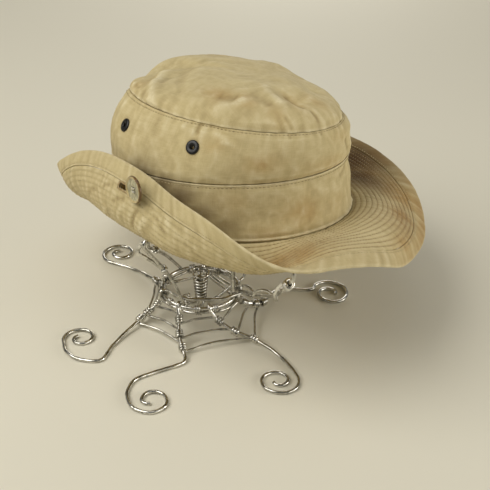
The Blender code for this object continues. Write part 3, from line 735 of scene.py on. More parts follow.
def section_piece(name, grid, uv, values, skin):
    """A closed piece from a grid that is closed both ways, such as a band's section carried round the hat."""
    count, depth = grid.shape[:2]
    index = np.arange(count * depth).reshape(count, depth)
    after = np.roll(index, -1, axis=0)
    over = np.roll(index, -1, axis=1)
    both = np.roll(after, -1, axis=1)
    quad = np.stack([index, after, both, over], -1).reshape(-1, 4)
    corner = np.stack([uv[:-1, :-1], uv[1:, :-1], uv[1:, 1:], uv[:-1, 1:]], 2).reshape(-1, 4, 2)
    numbers = {key: value.ravel() for key, value in values.items()}
    return finish_mesh(name, on_hat(grid.reshape(-1, 3)), quad.tolist(), list(corner), numbers, skin)


def tube_mesh(path, radius, sides=WIRE_SIDES, closed=False):
    """Points and faces of a round wire.

    Circles lie square to the path, each turned to a fixed direction that is nowhere along the path, and the
    radius may change from point to point. An open wire ends in a point that stands a little out.
    """
    path = np.asarray(path, float)
    count = len(path)
    if closed:
        way = np.roll(path, -1, axis=0) - np.roll(path, 1, axis=0)
    else:
        way = np.gradient(path, axis=0)
    way = unit(way)
    tries = unit(np.array([
        (x, y, z) for x in (-1, 0, 1) for y in (-1, 0, 1) for z in (0, 1) if (x, y, z) != (0, 0, 0)
    ], float))
    fixed = tries[np.argmin(np.abs(tries @ way.T).max(axis=1))]
    first = unit(np.cross(way, fixed))
    second = np.cross(way, first)
    turn = 2 * np.pi * np.arange(sides) / sides
    radius = np.broadcast_to(np.asarray(radius, float), (count,))
    circle = np.cos(turn)[None, :, None] * first[:, None] + np.sin(turn)[None, :, None] * second[:, None]
    points = (path[:, None] + circle * radius[:, None, None]).reshape(-1, 3)
    index = np.arange(count * sides).reshape(count, sides)
    over = np.roll(index, -1, axis=1)
    following = np.roll(index, -1, axis=0)
    corner = np.roll(over, -1, axis=0)
    last = count if closed else count - 1
    faces = np.stack([index[:last], over[:last], corner[:last], following[:last]], -1).reshape(-1, 4).tolist()
    if not closed:
        ends = np.stack([path[0] - way[0] * radius[0] / 3, path[-1] + way[-1] * radius[-1] / 3])
        points = np.vstack([points, ends])
        start, stop = count * sides, count * sides + 1
        faces += np.stack([over[0], index[0], np.full(sides, start)], -1).tolist()
        faces += np.stack([index[-1], over[-1], np.full(sides, stop)], -1).tolist()
    return points, faces


def joined_tubes(wires, sides):
    """Points and faces of several wires, each given as (path, radius, closed)."""
    points, faces, start = [], [], 0
    for path, radius, closed in wires:
        made, sides_of = tube_mesh(path, radius, sides, closed)
        points.append(made)
        faces += [[v + start for v in face] for face in sides_of]
        start += len(made)
    return np.vstack(points), faces


def wire_piece(name, wires, skin, sides=WIRE_SIDES):
    """One piece from several wires in the stand's frame."""
    points, faces = joined_tubes(wires, sides)
    return finish_mesh(name, points + SHIFT, faces, None, {}, skin)


def thread_piece(name, strands, skin, sides=6):
    """One piece from several threads in the hat's own frame."""
    points, faces = joined_tubes(strands, sides)
    return finish_mesh(name, on_hat(points), faces, None, {}, skin)


def stitches(name, rows, skin):
    """Sewing thread lying along rows on the cloth, each row a closed path with its normals.

    Each stitch is a spindle: an end point, three four-sided rings along the row, and an end point. It stands
    out of the cloth in the middle and dips into it at both ends.
    """
    along, girth = STITCH_PROFILE.T
    rise = STITCH_THREAD * (1 - along**2 - STITCH_SINK * along**2)
    turn = 2 * np.pi * np.arange(STITCH_SIDES) / STITCH_SIDES
    size = 3 * STITCH_SIDES + 2
    points, faces, start = [], [], 0
    ring_index = 1 + np.arange(size - 2).reshape(3, STITCH_SIDES)
    over = np.roll(ring_index, -1, axis=1)
    walls = np.stack([ring_index[:-1], over[:-1], over[1:], ring_index[1:]], -1).reshape(-1, 4)
    tip_a = np.stack([over[0], ring_index[0], np.zeros(STITCH_SIDES, int)], -1)
    tip_b = np.stack([ring_index[-1], over[-1], np.full(STITCH_SIDES, size - 1)], -1)
    for path, normal in rows:
        looped = np.vstack([path, path[:1]])
        looped_normal = np.vstack([normal, normal[:1]])
        run = np.append(0, np.cumsum(np.linalg.norm(np.diff(looped, axis=0), axis=1)))
        count = int(run[-1] / STITCH_PITCH)
        middle = (np.arange(count) + 0.5) * run[-1] / count
        at = (middle[:, None] + along * STITCH_LENGTH / 2) % run[-1]
        centre = np.stack([np.interp(at, run, looped[:, k]) for k in range(3)], -1)
        up = unit(np.stack([np.interp(at, run, looped_normal[:, k]) for k in range(3)], -1))
        way = unit(np.gradient(centre, axis=1))
        side = np.cross(way, up)
        centre = centre + up * rise[None, :, None]
        circle = side[:, :, None] * np.cos(turn)[:, None] + up[:, :, None] * np.sin(turn)[:, None]
        rings = centre[:, 1:4, None] + circle[:, 1:4] * (STITCH_THREAD * girth[1:4])[:, None, None]
        made = np.concatenate([centre[:, :1], rings.reshape(count, size - 2, 3), centre[:, 4:]], 1)
        offset = start + size * np.arange(count)[:, None, None]
        points.append(made.reshape(-1, 3))
        faces += (walls + offset).reshape(-1, 4).tolist()
        faces += (tip_a + offset).reshape(-1, 3).tolist()
        faces += (tip_b + offset).reshape(-1, 3).tolist()
        start += size * count
    return finish_mesh(name, on_hat(np.vstack(points)), faces, None, {}, skin)


# Materials

def paint(red, green, blue):
    """A colour as it looks on a screen, from 0 to 1, turned into light: each part to the power 2.2."""
    return (red**2.2, green**2.2, blue**2.2, 1)


def join(tree, source, socket):
    """Sets a socket to a plain value, or joins it to another node's output."""
    if isinstance(source, bpy.types.NodeSocket):
        tree.links.new(source, socket)
    else:
        socket.default_value = source


def dress(tree, shader, **sources):
    """Sets or joins a shader's sockets, each named with _ for a space."""
    for label, source in sources.items():
        join(tree, source, shader.inputs[label.replace("_", " ")])


def reckon(tree, operation, first, second=0.0, third=0.0):
    """One sum, product or other operation."""
    node = tree.nodes.new("ShaderNodeMath")
    node.operation = operation
    for source, socket in zip((first, second, third), node.inputs):
        join(tree, source, socket)
    return node.outputs[0]


def between(tree, value, low, high, to_low=0.0, to_high=1.0):
    """A value moved smoothly from one span to another, and held at its ends."""
    node = tree.nodes.new("ShaderNodeMapRange")
    node.interpolation_type = "SMOOTHSTEP"
    for source, socket in zip((value, low, high, to_low, to_high), node.inputs):
        join(tree, source, socket)
    return node.outputs[0]


def blended(tree, share, first, second, how="MIX"):
    """Two colours blended by a share."""
    node = tree.nodes.new("ShaderNodeMix")
    node.data_type = "RGBA"
    node.blend_type = how
    for source, socket in ((share, node.inputs[0]), (first, node.inputs[6]), (second, node.inputs[7])):
        join(tree, source, socket)
    return node.outputs[2]


def cloud(tree, place, size, detail=2.0, roughness=0.5, stretch=(1, 1, 1)):
    """Soft noise with lumps of about that size in metres, which may be drawn out along an axis."""
    shaped = tree.nodes.new("ShaderNodeMapping")
    shaped.inputs["Scale"].default_value = [1 / (size * part) for part in stretch]
    join(tree, place, shaped.inputs["Vector"])
    node = tree.nodes.new("ShaderNodeTexNoise")
    node.inputs["Scale"].default_value = 1.0
    node.inputs["Detail"].default_value = detail
    node.inputs["Roughness"].default_value = roughness
    tree.links.new(shaped.outputs[0], node.inputs["Vector"])
    return node.outputs["Fac"]


def attribute(tree, name):
    """The numbers that a piece carries at its points under that name."""
    node = tree.nodes.new("ShaderNodeAttribute")
    node.attribute_name = name
    return node.outputs["Fac"]


def cloth_place(tree):
    """The cloth's own coordinates, in metres along its threads."""
    node = tree.nodes.new("ShaderNodeUVMap")
    node.uv_map = "cloth"
    return node.outputs[0]


def object_place(tree):
    """Places in the piece's own frame."""
    return tree.nodes.new("ShaderNodeTexCoord").outputs["Object"]


def bumped(tree, height, depth, normal=None):
    """A bump of that depth in metres for a height from 0 to 1."""
    node = tree.nodes.new("ShaderNodeBump")
    node.inputs["Strength"].default_value = 1.0
    node.inputs["Distance"].default_value = depth
    join(tree, height, node.inputs["Height"])
    if normal is not None:
        tree.links.new(normal, node.inputs["Normal"])
    return node.outputs["Normal"]


def new_group(name, inputs, outputs):
    """An empty shader node group with named inputs and outputs, its tree and their nodes."""
    tree = bpy.data.node_groups.new(name, "ShaderNodeTree")
    for label, kind, value in inputs:
        socket = tree.interface.new_socket(label, in_out="INPUT", socket_type=kind)
        if value is not None:
            socket.default_value = value
    for label, kind in outputs:
        tree.interface.new_socket(label, in_out="OUTPUT", socket_type=kind)
    return tree, tree.nodes.new("NodeGroupInput").outputs, tree.nodes.new("NodeGroupOutput").inputs


def placed(tree, group, **sources):
    """A node of that group with its inputs joined, and its outputs."""
    node = tree.nodes.new("ShaderNodeGroup")
    node.node_tree = group
    for label, source in sources.items():
        join(tree, source, node.inputs[label])
    return node.outputs


def twill_weave():
    """Twill: slanting ribs crossed by finer threads, uneven, with streaks of thicker and paler yarn."""
    tree, given, result = new_group(
        "twill_weave",
        (("Cloth", "NodeSocketVector", None), ("Rib", "NodeSocketFloat", 0.0008)),
        (("Height", "NodeSocketFloat"), ("Streak", "NodeSocketFloat")),
    )
    parts = tree.nodes.new("ShaderNodeSeparateXYZ")
    tree.links.new(given["Cloth"], parts.inputs[0])
    turns = reckon(tree, "DIVIDE", 2 * math.pi / math.sqrt(2), given["Rib"])
    uneven = reckon(tree, "MULTIPLY", cloud(tree, given["Cloth"], 0.004, 2.0), 3.0)
    slant = reckon(tree, "ADD", parts.outputs["X"], parts.outputs["Y"])
    other = reckon(tree, "SUBTRACT", parts.outputs["X"], parts.outputs["Y"])
    rib = reckon(tree, "SINE", reckon(tree, "MULTIPLY_ADD", slant, turns, uneven))
    thread = reckon(tree, "SINE", reckon(tree, "MULTIPLY", reckon(tree, "MULTIPLY", other, turns), 1.7))
    along = cloud(tree, given["Cloth"], 0.0006, 1.0, 0.5, (14, 1, 1))
    across = cloud(tree, given["Cloth"], 0.0006, 1.0, 0.5, (1, 14, 1))
    streak = reckon(tree, "MULTIPLY", reckon(tree, "ADD", along, across), 0.5)
    woven = reckon(tree, "MULTIPLY_ADD", rib, 0.30, reckon(tree, "MULTIPLY_ADD", thread, 0.10, 0.4))
    tree.links.new(reckon(tree, "MULTIPLY_ADD", streak, 0.5, woven), result["Height"])
    tree.links.new(streak, result["Streak"])
    return tree


def washed_cotton():
    """Washed khaki cotton: blotches, yarn streaks, pale rubbed crests, stains, painted shade, and dirt in
    hollows.
    """
    tree, given, result = new_group(
        "washed_cotton",
        (
            ("Place", "NodeSocketVector", None), ("Streak", "NodeSocketFloat", 0.5),
            ("Fade", "NodeSocketFloat", 0.0), ("Groove", "NodeSocketFloat", 0.0),
            ("Stain", "NodeSocketFloat", 0.0), ("Shade", "NodeSocketFloat", 0.0),
        ),
        (("Colour", "NodeSocketColor"), ("Roughness", "NodeSocketFloat"), ("Nap", "NodeSocketFloat")),
    )
    broad = cloud(tree, given["Place"], 0.060, 3.0, 0.5)
    blotch = cloud(tree, given["Place"], 0.016, 4.0, 0.6)
    speck = cloud(tree, given["Place"], 0.0016, 3.0, 0.65)
    paler = between(tree, broad, 0.35, 0.65)
    tone = blended(tree, paler, paint(0.765, 0.70, 0.525), paint(0.80, 0.735, 0.55))
    tone = blended(tree, between(tree, blotch, 0.30, 0.70, 0.0, 0.55), tone, paint(0.725, 0.655, 0.475))
    tone = blended(tree, between(tree, speck, 0.25, 0.75, 0.0, 0.30), tone, paint(0.67, 0.60, 0.43))
    tone = blended(tree, between(tree, given["Streak"], 0.30, 0.70, 0.0, 0.45), tone, paint(0.83, 0.77, 0.60))
    stain = reckon(tree, "MULTIPLY", given["Stain"], between(tree, blotch, 0.30, 0.62, 0.45, 1.0))
    tone = blended(tree, stain, tone, paint(0.70, 0.565, 0.35))
    rubbed = reckon(tree, "MULTIPLY", given["Fade"], between(tree, speck, 0.30, 0.60, 0.45, 1.0))
    tone = blended(tree, reckon(tree, "MULTIPLY", rubbed, 0.85), tone, paint(0.89, 0.84, 0.69))
    # Darker brown in hollows and seams: part dirt, part painted shade
    tone = blended(tree, reckon(tree, "MULTIPLY", given["Groove"], 0.60), tone, paint(0.50, 0.41, 0.26))
    # Painted shade: the colour multiplied by a dark brown where the piece's shade number says so
    dark = blended(tree, 1.0, tone, paint(0.34, 0.24, 0.135), "MULTIPLY")
    tone = blended(tree, given["Shade"], tone, dark)
    tree.links.new(tone, result["Colour"])
    tree.links.new(between(tree, given["Fade"], 0.0, 1.0, 0.90, 0.82), result["Roughness"])
    tree.links.new(speck, result["Nap"])
    return tree


def make_twill(name, rib, relief, weave, cotton):
    """Washed khaki twill: weave by the cloth's coordinates; wear, stains and painted shade by the piece's
    numbers.
    """
    made, tree, shader = new_material(name)
    woven = placed(tree, weave, Cloth=cloth_place(tree), Rib=rib)
    washed = placed(
        tree, cotton, Place=object_place(tree), Streak=woven["Streak"],
        Fade=attribute(tree, "fade"), Groove=attribute(tree, "groove"), Stain=attribute(tree, "stain"),
        Shade=attribute(tree, "shade"),
    )
    fuzz = bumped(tree, washed["Nap"], 0.00020)
    dress(
        tree, shader, Base_Color=washed["Colour"], Roughness=washed["Roughness"],
        Normal=bumped(tree, woven["Height"], relief, fuzz),
        Specular_IOR_Level=0.12, Sheen_Weight=0.07, Sheen_Roughness=0.45,
    )
    return made


def make_thread(name, dark, pale):
    """Sewing thread: two tones that change every few stitches."""
    made, tree, shader = new_material(name, roughness=0.75)
    place = object_place(tree)
    share = between(tree, cloud(tree, place, 0.006, 3.0, 0.7), 0.35, 0.65)
    fuzz = bumped(tree, cloud(tree, place, 0.0002, 1.0), 0.00005)
    dress(tree, shader, Base_Color=blended(tree, share, dark, pale), Normal=fuzz, Sheen_Weight=0.1)
    return made


def make_blackened_metal():
    """Black enamel on brass, worn to dull metal in small patches."""
    made, tree, shader = new_material("blackened_metal_worn", roughness=0.35)
    place = object_place(tree)
    worn = between(tree, cloud(tree, place, 0.0012, 4.0, 0.7), 0.62, 0.68)
    tone = blended(tree, worn, paint(0.06, 0.055, 0.05), paint(0.30, 0.28, 0.25))
    metal = reckon(tree, "MULTIPLY_ADD", worn, 0.6, 0.1)
    rough = between(tree, cloud(tree, place, 0.003, 3.0), 0.3, 0.7, 0.30, 0.50)
    dents = bumped(tree, cloud(tree, place, 0.0008, 3.0), 0.00006)
    dress(tree, shader, Base_Color=tone, Metallic=metal, Roughness=rough, Normal=dents)
    return made


def make_horn():
    """Horn: a brown rim, a honey ring inside it and a mottled pale middle, by the piece's ring value."""
    made, tree, shader = new_material("polished_horn", roughness=0.3)
    place = object_place(tree)
    ring_at = reckon(tree, "MULTIPLY_ADD", cloud(tree, place, 0.004, 3.0), 0.10, attribute(tree, "ring"))
    mottle = between(tree, cloud(tree, place, 0.0022, 4.0, 0.65, (1, 1, 2.5)), 0.30, 0.70)
    middle = blended(tree, mottle, paint(0.48, 0.46, 0.35), paint(0.74, 0.71, 0.57))
    honey = blended(tree, mottle, paint(0.64, 0.56, 0.38), paint(0.78, 0.71, 0.52))
    rim = blended(tree, mottle, paint(0.26, 0.18, 0.09), paint(0.46, 0.35, 0.20))
    tone = blended(tree, between(tree, ring_at, 0.80, 0.86), middle, honey)
    tone = blended(tree, between(tree, ring_at, 0.97, 1.03), tone, rim)
    # Painted shade: the pits that stand for the holes are painted near black
    tone = blended(tree, attribute(tree, "pit"), tone, paint(0.12, 0.09, 0.06))
    rough = between(tree, cloud(tree, place, 0.003, 3.0), 0.3, 0.7, 0.22, 0.40)
    dents = bumped(tree, cloud(tree, place, 0.0006, 2.0), 0.00003)
    dress(tree, shader, Base_Color=tone, Roughness=rough, Normal=dents, Coat_Weight=0.25)
    return made


def make_bright_wire():
    """Bright drawn wire: dulled in patches, with dark specks where it was gripped, and fine scratches."""
    made, tree, shader = new_material("bright_drawn_wire", metallic=1.0)
    place = object_place(tree)
    dull = between(tree, cloud(tree, place, 0.010, 4.0, 0.6), 0.40, 0.65)
    speck = between(tree, cloud(tree, place, 0.0022, 3.0, 0.6), 0.56, 0.68)
    tone = blended(tree, dull, paint(0.90, 0.89, 0.86), paint(0.66, 0.65, 0.61))
    tone = blended(tree, reckon(tree, "MULTIPLY", speck, 0.75), tone, paint(0.22, 0.21, 0.19))
    rough = reckon(tree, "MULTIPLY_ADD", dull, 0.12, 0.13)
    scratch = bumped(tree, cloud(tree, place, 0.0005, 2.0, 0.5), 0.00004)
    dress(tree, shader, Base_Color=tone, Roughness=rough, Normal=scratch)
    return made


def new_material(name, metallic=0.0, roughness=0.5):
    """A named material, its node tree and its Principled shader."""
    made = bpy.data.materials.new(name)
    made.use_nodes = True
    shader = made.node_tree.nodes["Principled BSDF"]
    shader.inputs["Metallic"].default_value = metallic
    shader.inputs["Roughness"].default_value = roughness
    return made, made.node_tree, shader


# Crown

def round_columns(count):
    """Angles round the head, from the back, where the wall's panels are joined."""
    return 90 + 360 * np.arange(count) / count


def fine_rows(length, count, places, reach=0.0016, more=3.0):
    """Distances from 0 to length, closer together near the given places, by adding up a density along it."""
    steps = np.linspace(0, length, 800)
    density = 1 + more * sum(hump(steps - place, reach) for place in places)
    total = np.append(0, np.cumsum((density[1:] + density[:-1]) / 2))
    return np.interp(np.linspace(0, total[-1], count), total, steps)


def fold_lines(u, v, table):
    """Creases as narrow bell-shaped ridges along straight lines in metres, fading towards both ends."""
    height = np.zeros(np.broadcast(u, v).shape)
    for start_u, start_v, end_u, end_v, width, rise in table:
        run = np.array([end_u - start_u, end_v - start_v])
        length = np.hypot(*run)
        way = run / length
        along = ((u - start_u) * way[0] + (v - start_v) * way[1]) / length
        bend = 0.06 * length * np.sin(np.pi * np.clip(along, 0, 1))
        off = (u - start_u) * way[1] - (v - start_v) * way[0] - bend
        ends = np.clip(along / 0.35 + 0.5, 0, 1) * np.clip((1 - along) / 0.35 + 0.5, 0, 1)
        height = height + rise * ends**2 * hump(off, width)
    return height


def softened(height, reach):
    """The height blurred over a few grid steps each way, closed round and held at the rims."""
    weights = np.exp(-((np.arange(-reach, reach + 1) / (reach / 2)) ** 2))
    weights /= weights.sum()
    made = sum(w * np.roll(height, k, axis=0) for k, w in zip(range(-reach, reach + 1), weights))
    padded = np.pad(made, ((0, 0), (reach, reach)), mode="edge")
    return sum(w * padded[:, k : k + height.shape[1]] for k, w in enumerate(weights))


def weathered(height, fade, groove, full=0.00025):
    """Crests rubbed pale, hollows darker by dirt and painted shade: what stands above and below its softened
    self.
    """
    relief = height - softened(height, 5)
    broad = height - softened(height, 12)
    crest = np.clip(relief / full, 0, 1) * 0.6 + np.clip(broad / (3 * full), 0, 1) * 0.5
    hollow = np.clip(-relief / full, 0, 1) * 0.5 + np.clip(-broad / (3 * full), 0, 1) * 0.4
    return np.clip(fade + crest, 0, 1), np.clip(groove + hollow, 0, 1)


def spots(u, v, table, wrap=None):
    """Soft oval spots, each a bell shape. Where they overlap the stronger one counts."""
    total = np.zeros(np.broadcast(u, v).shape)
    for at_u, at_v, size_u, size_v, strength in table:
        off = u - at_u
        if wrap:
            off = (off + wrap / 2) % wrap - wrap / 2
        total = np.maximum(total, strength * np.exp(-((off / size_u) ** 2) - ((v - at_v) / size_v) ** 2))
    return total


def round_spots(angles, across, table):
    """Spots given by their angle round the head and their level or share."""
    return spots(angles[:, None], across[None], table, 360)


def round_creases(angles, across, reach, scale, table):
    """Creases given by angle and level or share, in metres round the head and across the cloth."""
    lines = [
        (np.radians(a) * reach, b * scale, np.radians(c) * reach, d * scale, width, rise)
        for a, b, c, d, width, rise in table
    ]
    return fold_lines(np.radians(angles % 360)[:, None] * reach, across[None] * scale, lines)


def puckers(angle, size, seed):
    """Noise along the seam, the same all round its circle."""
    turn = np.radians(angle)
    reach = OPENING_LENGTH / 2
    return lumps(swung(reach, turn, 0.013 * seed), size, seed)


def wall_rumple(points):
    """Soft crumples of washed cloth: noise in four sizes, some drawn out up the wall, and two of creases."""
    tall = points * np.array([1, 1, 0.55])
    return (
        0.0011 * lumps(tall, 0.040, 11)
        + 0.0006 * lumps(tall, 0.018, 12)
        + 0.00022 * lumps(points, 0.008, 13)
        + 0.00008 * lumps(points, 0.0035, 19)
        + 0.0005 * creases(tall, 0.045, 14)
        + 0.0002 * creases(points, 0.016, 20)
    )


def wall_creases(angles, levels):
    """The creases of the wall's table."""
    return round_creases(angles, levels, (OPENING_LENGTH + OPENING_WIDTH) / 4, BAND_HEIGHT, WALL_CREASES)


def by_eyelet(points):
    """How near the points are to an eyelet: 1 under its flange, falling to 0 some way off."""
    near = np.zeros(points.shape[:-1])
    for angle in EYELET_ANGLES:
        distance = np.linalg.norm(points - eyelet_place(angle)[0], axis=-1)
        near = np.maximum(near, np.exp(-np.clip(distance - EYELET_FLANGE, 0, 1) / 0.0022))
    return near


def wall_uv(count, heights):
    """The wall's cloth unrolled: metres round the head and metres up."""
    across = np.broadcast_to(heights[None], (count + 1, len(heights)))
    around_head = np.pi * (OPENING_LENGTH + OPENING_WIDTH) / 2 * np.arange(count + 1) / count
    return np.stack([np.broadcast_to(around_head[:, None], across.shape), across], -1)


def make_lower_band(skin):
    """The lower band: a rolled ridge over the brim's seam, and a pressed fold with a stitch groove on top.

    The outer face is the plain wall pushed along its normal by humps at set distances from both seams, by
    puckers that die away from the seams, and by the crumples. The inner face is the plain wall, one cloth in.
    """
    angles = round_columns(WALL_COLUMNS)
    bottom = -BRIM_CLOTH / 2
    top = BAND_HEIGHT - GAP
    length = top - bottom
    places = (RIDGE_OVER_BRIM - bottom, length - RIDGE_FROM_SEAM, length - STITCH_FROM_MIDDLE_SEAM)
    heights = bottom + fine_rows(length, BAND_LINES, places)
    levels = heights / BAND_HEIGHT
    points = wall(angles[:, None], levels[None])
    normal = normals_of(points)
    from_brim = heights[None]
    from_seam = BAND_HEIGHT - heights[None]
    near_brim = np.exp(-np.clip(from_brim, 0, 1) / 0.009)
    near_seam = np.exp(-from_seam / 0.007)
    calm = np.clip(from_brim / 0.007, 0, 1) * np.clip(from_seam / 0.005, 0, 1)
    ridges = (
        ridge_at(from_brim - RIDGE_OVER_BRIM, BRIM_ROLL) * (1 + 0.3 * puckers(angles, 0.01, 24)[:, None])
        + ridge_at(from_seam - RIDGE_FROM_SEAM, SEAM_FOLD) * (1 + 0.4 * puckers(angles, 0.012, 28)[:, None])
        - 0.0001 * hump(from_seam - STITCH_FROM_MIDDLE_SEAM, 0.0005)
    )
    height = (
        ridges
        + 0.0006 * puckers(angles, 0.0075, 21)[:, None] * near_brim
        + 0.0004 * puckers(angles, 0.0065, 22)[:, None] * near_seam
        + (wall_rumple(points) + wall_creases(angles, levels)) * calm
    )
    outer = points + normal * height[..., None]
    inner = points - normal * CROWN_CLOTH
    # Paler on the ridges; darker in the seam to the brim and at the stitch groove, part dirt and part painted
    # shade
    fade, groove = weathered(
        height - ridges,
        hump(from_brim - RIDGE_OVER_BRIM, 0.0011) + 0.9 * hump(from_seam - RIDGE_FROM_SEAM, 0.0007),
        0.7 * hump(from_brim, 0.0006) + 0.1 * hump(from_seam - STITCH_FROM_MIDDLE_SEAM, 0.0004),
    )
    stain = round_spots(angles, levels, WALL_STAINS)
    shade = round_spots(angles, levels, WALL_SHADE)
    piece = cloth_piece(
        "lower_band_cloth", outer, inner, wall_uv(len(angles), heights),
        {"fade": fade, "groove": groove, "stain": stain, "shade": shade}, skin,
    )
    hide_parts("lower_band")
    column = np.argmin(np.abs(from_seam[0] - STITCH_FROM_MIDDLE_SEAM))
    return [(outer[:, column], normal[:, column])]


def make_side_panel(skin):
    """The side panel: its edges lie under the band and the tip, with a stitch groove under the tip's seam.

    Made as the lower band is, and punched round at its four eyelets.
    """
    angles = round_columns(WALL_COLUMNS)
    length = LAP_UNDER_BAND + PANEL_HEIGHT + LAP_UNDER_TIP
    seam = length - LAP_UNDER_TIP
    places = (LAP_UNDER_BAND + 0.0006, seam - 0.0004, seam - STITCH_FROM_TIP_SEAM)
    heights = fine_rows(length, PANEL_LINES, places) - LAP_UNDER_BAND
    levels = 1 + heights / np.where(heights < 0, BAND_HEIGHT, PANEL_HEIGHT)
    points = wall(angles[:, None], levels[None])
    normal = normals_of(points)
    from_middle = heights[None]
    from_tip = PANEL_HEIGHT - heights[None]
    calm = np.clip(from_middle / 0.005, 0, 1) * np.clip(from_tip / 0.005, 0, 1)
    rumple = (wall_rumple(points) + wall_creases(angles, levels)) * calm
    near = by_eyelet(points)
    height = (
        -0.00012 * hump(from_tip - STITCH_FROM_TIP_SEAM, 0.0005)
        + 0.0004 * puckers(angles, 0.0065, 22)[:, None] * np.exp(-np.clip(from_middle, 0, 1) / 0.007)
        + 0.0006 * puckers(angles, 0.0075, 23)[:, None] * np.exp(-np.clip(from_tip, 0, 1) / 0.010)
        + rumple * (1 - near)
        + 0.0003 * near
    )
    under = np.clip(1 - from_middle / 0.0006, 0, 1) + np.clip(1 - from_tip / 0.0005, 0, 1)
    tucked = height - (CROWN_CLOTH + GAP) * np.clip(under, 0, 1) ** 1.5
    outer = points + normal * tucked[..., None]
    inner = outer - normal * CROWN_CLOTH
    cut = np.zeros((len(angles), len(levels) - 1), bool)
    hole_radius = EYELET_BARREL + EYELET_PLAY / 2
    for eyelet_angle in EYELET_ANGLES:
        outer, inner, hole = punched(outer, inner, *eyelet_place(eyelet_angle), hole_radius)
        cut |= hole
    # Darker at both laps, at the stitch groove and round the eyelets: part dirt, part painted shade
    fade, groove = weathered(
        height,
        0,
        0.35 * hump(from_middle, 0.0004) + 0.3 * hump(from_tip, 0.0004)
        + 0.1 * hump(from_tip - STITCH_FROM_TIP_SEAM, 0.0004) + 0.5 * near**3,
    )
    stain = round_spots(angles, levels, WALL_STAINS)
    shade = round_spots(angles, levels, WALL_SHADE)
    piece = cloth_piece(
        "side_panel_cloth", outer, inner, wall_uv(len(angles), BAND_HEIGHT + heights),
        {"fade": fade, "groove": groove, "stain": stain, "shade": shade}, skin, cut,
    )
    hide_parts("side_panel")
    column = np.argmin(np.abs(from_tip[0] - STITCH_FROM_TIP_SEAM))
    return [(outer[:, column], normal[:, column])]


def eyelet_place(angle):
    """Where an eyelet sits on the panel, and the panel's normal there."""
    small = 0.01
    level = EYELET_LEVEL
    spot = wall(angle, level)
    round_way = wall(angle + small, level) - wall(angle - small, level)
    normal = np.cross(round_way, wall(angle, level + small) - wall(angle, level - small))
    return spot, normal / np.linalg.norm(normal)


def punched(outer, inner, spot, axis, radius):
    """Both faces with a round hole.

    Points nearer the axis than the radius move out to it, and the faces whose corners all moved are cut away.
    """
    near = np.linalg.norm(outer - spot, axis=-1) < 4 * radius
    inside = None
    made = []
    for face in (outer, inner):
        away = face - spot
        along = (away @ axis)[..., None] * axis
        flat = away - along
        distance = np.linalg.norm(flat, axis=-1)
        if inside is None:
            inside = (distance < radius) & near
        pushed = spot + along + flat / np.maximum(distance, 1e-6)[..., None] * radius
        made.append(np.where(inside[..., None], pushed, face))
    return made[0], made[1], between_columns(inside).all(axis=-1)


def make_crown_tip(skin):
    """The tip: a puffed dome with a rolled ridge along its seam, small puckers and soft crumples.

    The dome is pushed along its normal as the wall is. Its cloth runs flat over the whole tip, so its
    coordinates are its plan.
    """
    angles = round_columns(TIP_COLUMNS)
    shares = 1 - np.linspace(0, 1, TIP_RINGS + 1)[:-1] ** 1.45
    points = tip(angles[:, None], shares[None])
    normal = normals_of(points)
    steps = np.linalg.norm(np.diff(points, axis=1), axis=-1)
    from_seam = np.concatenate([np.zeros((len(angles), 1)), np.cumsum(steps, axis=1)], 1)
    calm = np.clip(from_seam / 0.006, 0, 1) * np.clip(shares / 0.1, 0, 1)
    across = shares * np.cos(np.radians(angles[:, None]))
    along = shares * np.sin(np.radians(angles[:, None]))
    half = np.array([TOP_WIDTH / 2, TOP_LENGTH / 2])
    lines = [(*(half * row[:2]), *(half * row[2:4]), *row[4:]) for row in TIP_CREASES]
    off_roll = from_seam - TIP_ROLL_FROM_SEAM
    ridge = ridge_at(off_roll, TIP_ROLL) * (1 + 0.4 * puckers(angles, 0.01, 25)[:, None])
    height = (
        ridge
        + 0.0007 * puckers(angles, 0.0085, 23)[:, None] * np.exp(-from_seam / 0.012)
        + (0.0011 * lumps(points, 0.042, 15) + 0.0007 * lumps(points, 0.019, 16)) * calm
        + (0.00022 * lumps(points, 0.008, 17) + 0.0006 * creases(points, 0.05, 18)) * calm
        + (0.00008 * lumps(points, 0.0035, 26) + 0.0002 * creases(points, 0.017, 27)) * calm
        + fold_lines(across * half[0], along * half[1], lines) * np.clip(from_seam / 0.003, 0, 1)
    )
    outer = points + normal * height[..., None]
    inner = points - normal * CROWN_CLOTH
    pole = tip(np.array(0.0), np.array(0.0))
    inner_pole = pole - np.array([0, 0, CROWN_CLOTH])
    fade, groove = weathered(height - ridge, 0.95 * hump(off_roll, 0.0008), 0)
    stain = spots(across, along, [(u, v, size, size, strength) for u, v, size, strength in TIP_STAINS])
    flat = np.concatenate([points, points[:1]], 0)[..., :2]
    piece = cloth_piece(
        "crown_tip_cloth", outer, inner, flat, {"fade": fade, "groove": groove, "stain": stain}, skin,
        poles=(pole, inner_pole, pole[:2]),
    )
    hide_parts("crown_tip")


# Brim

def sway(angle, share):
    """Small waves of the brim that grow towards its edge, as a push along its normal."""
    turn = np.radians(angle)[:, None]
    reach = OPENING_LENGTH / 2
    flat = swung(reach, turn, 0.03 * share[None])
    return (0.0010 * lumps(flat, 0.045, 31) + 0.0005 * lumps(flat, 0.02, 32)) * share[None]


def row_distances():
    """How far from the brim's root each row of its stitching runs."""
    last = BRIM_WIDTH - BINDING_WIDTH - LAST_ROW
    return np.linspace(FIRST_ROW, last, BRIM_ROWS)


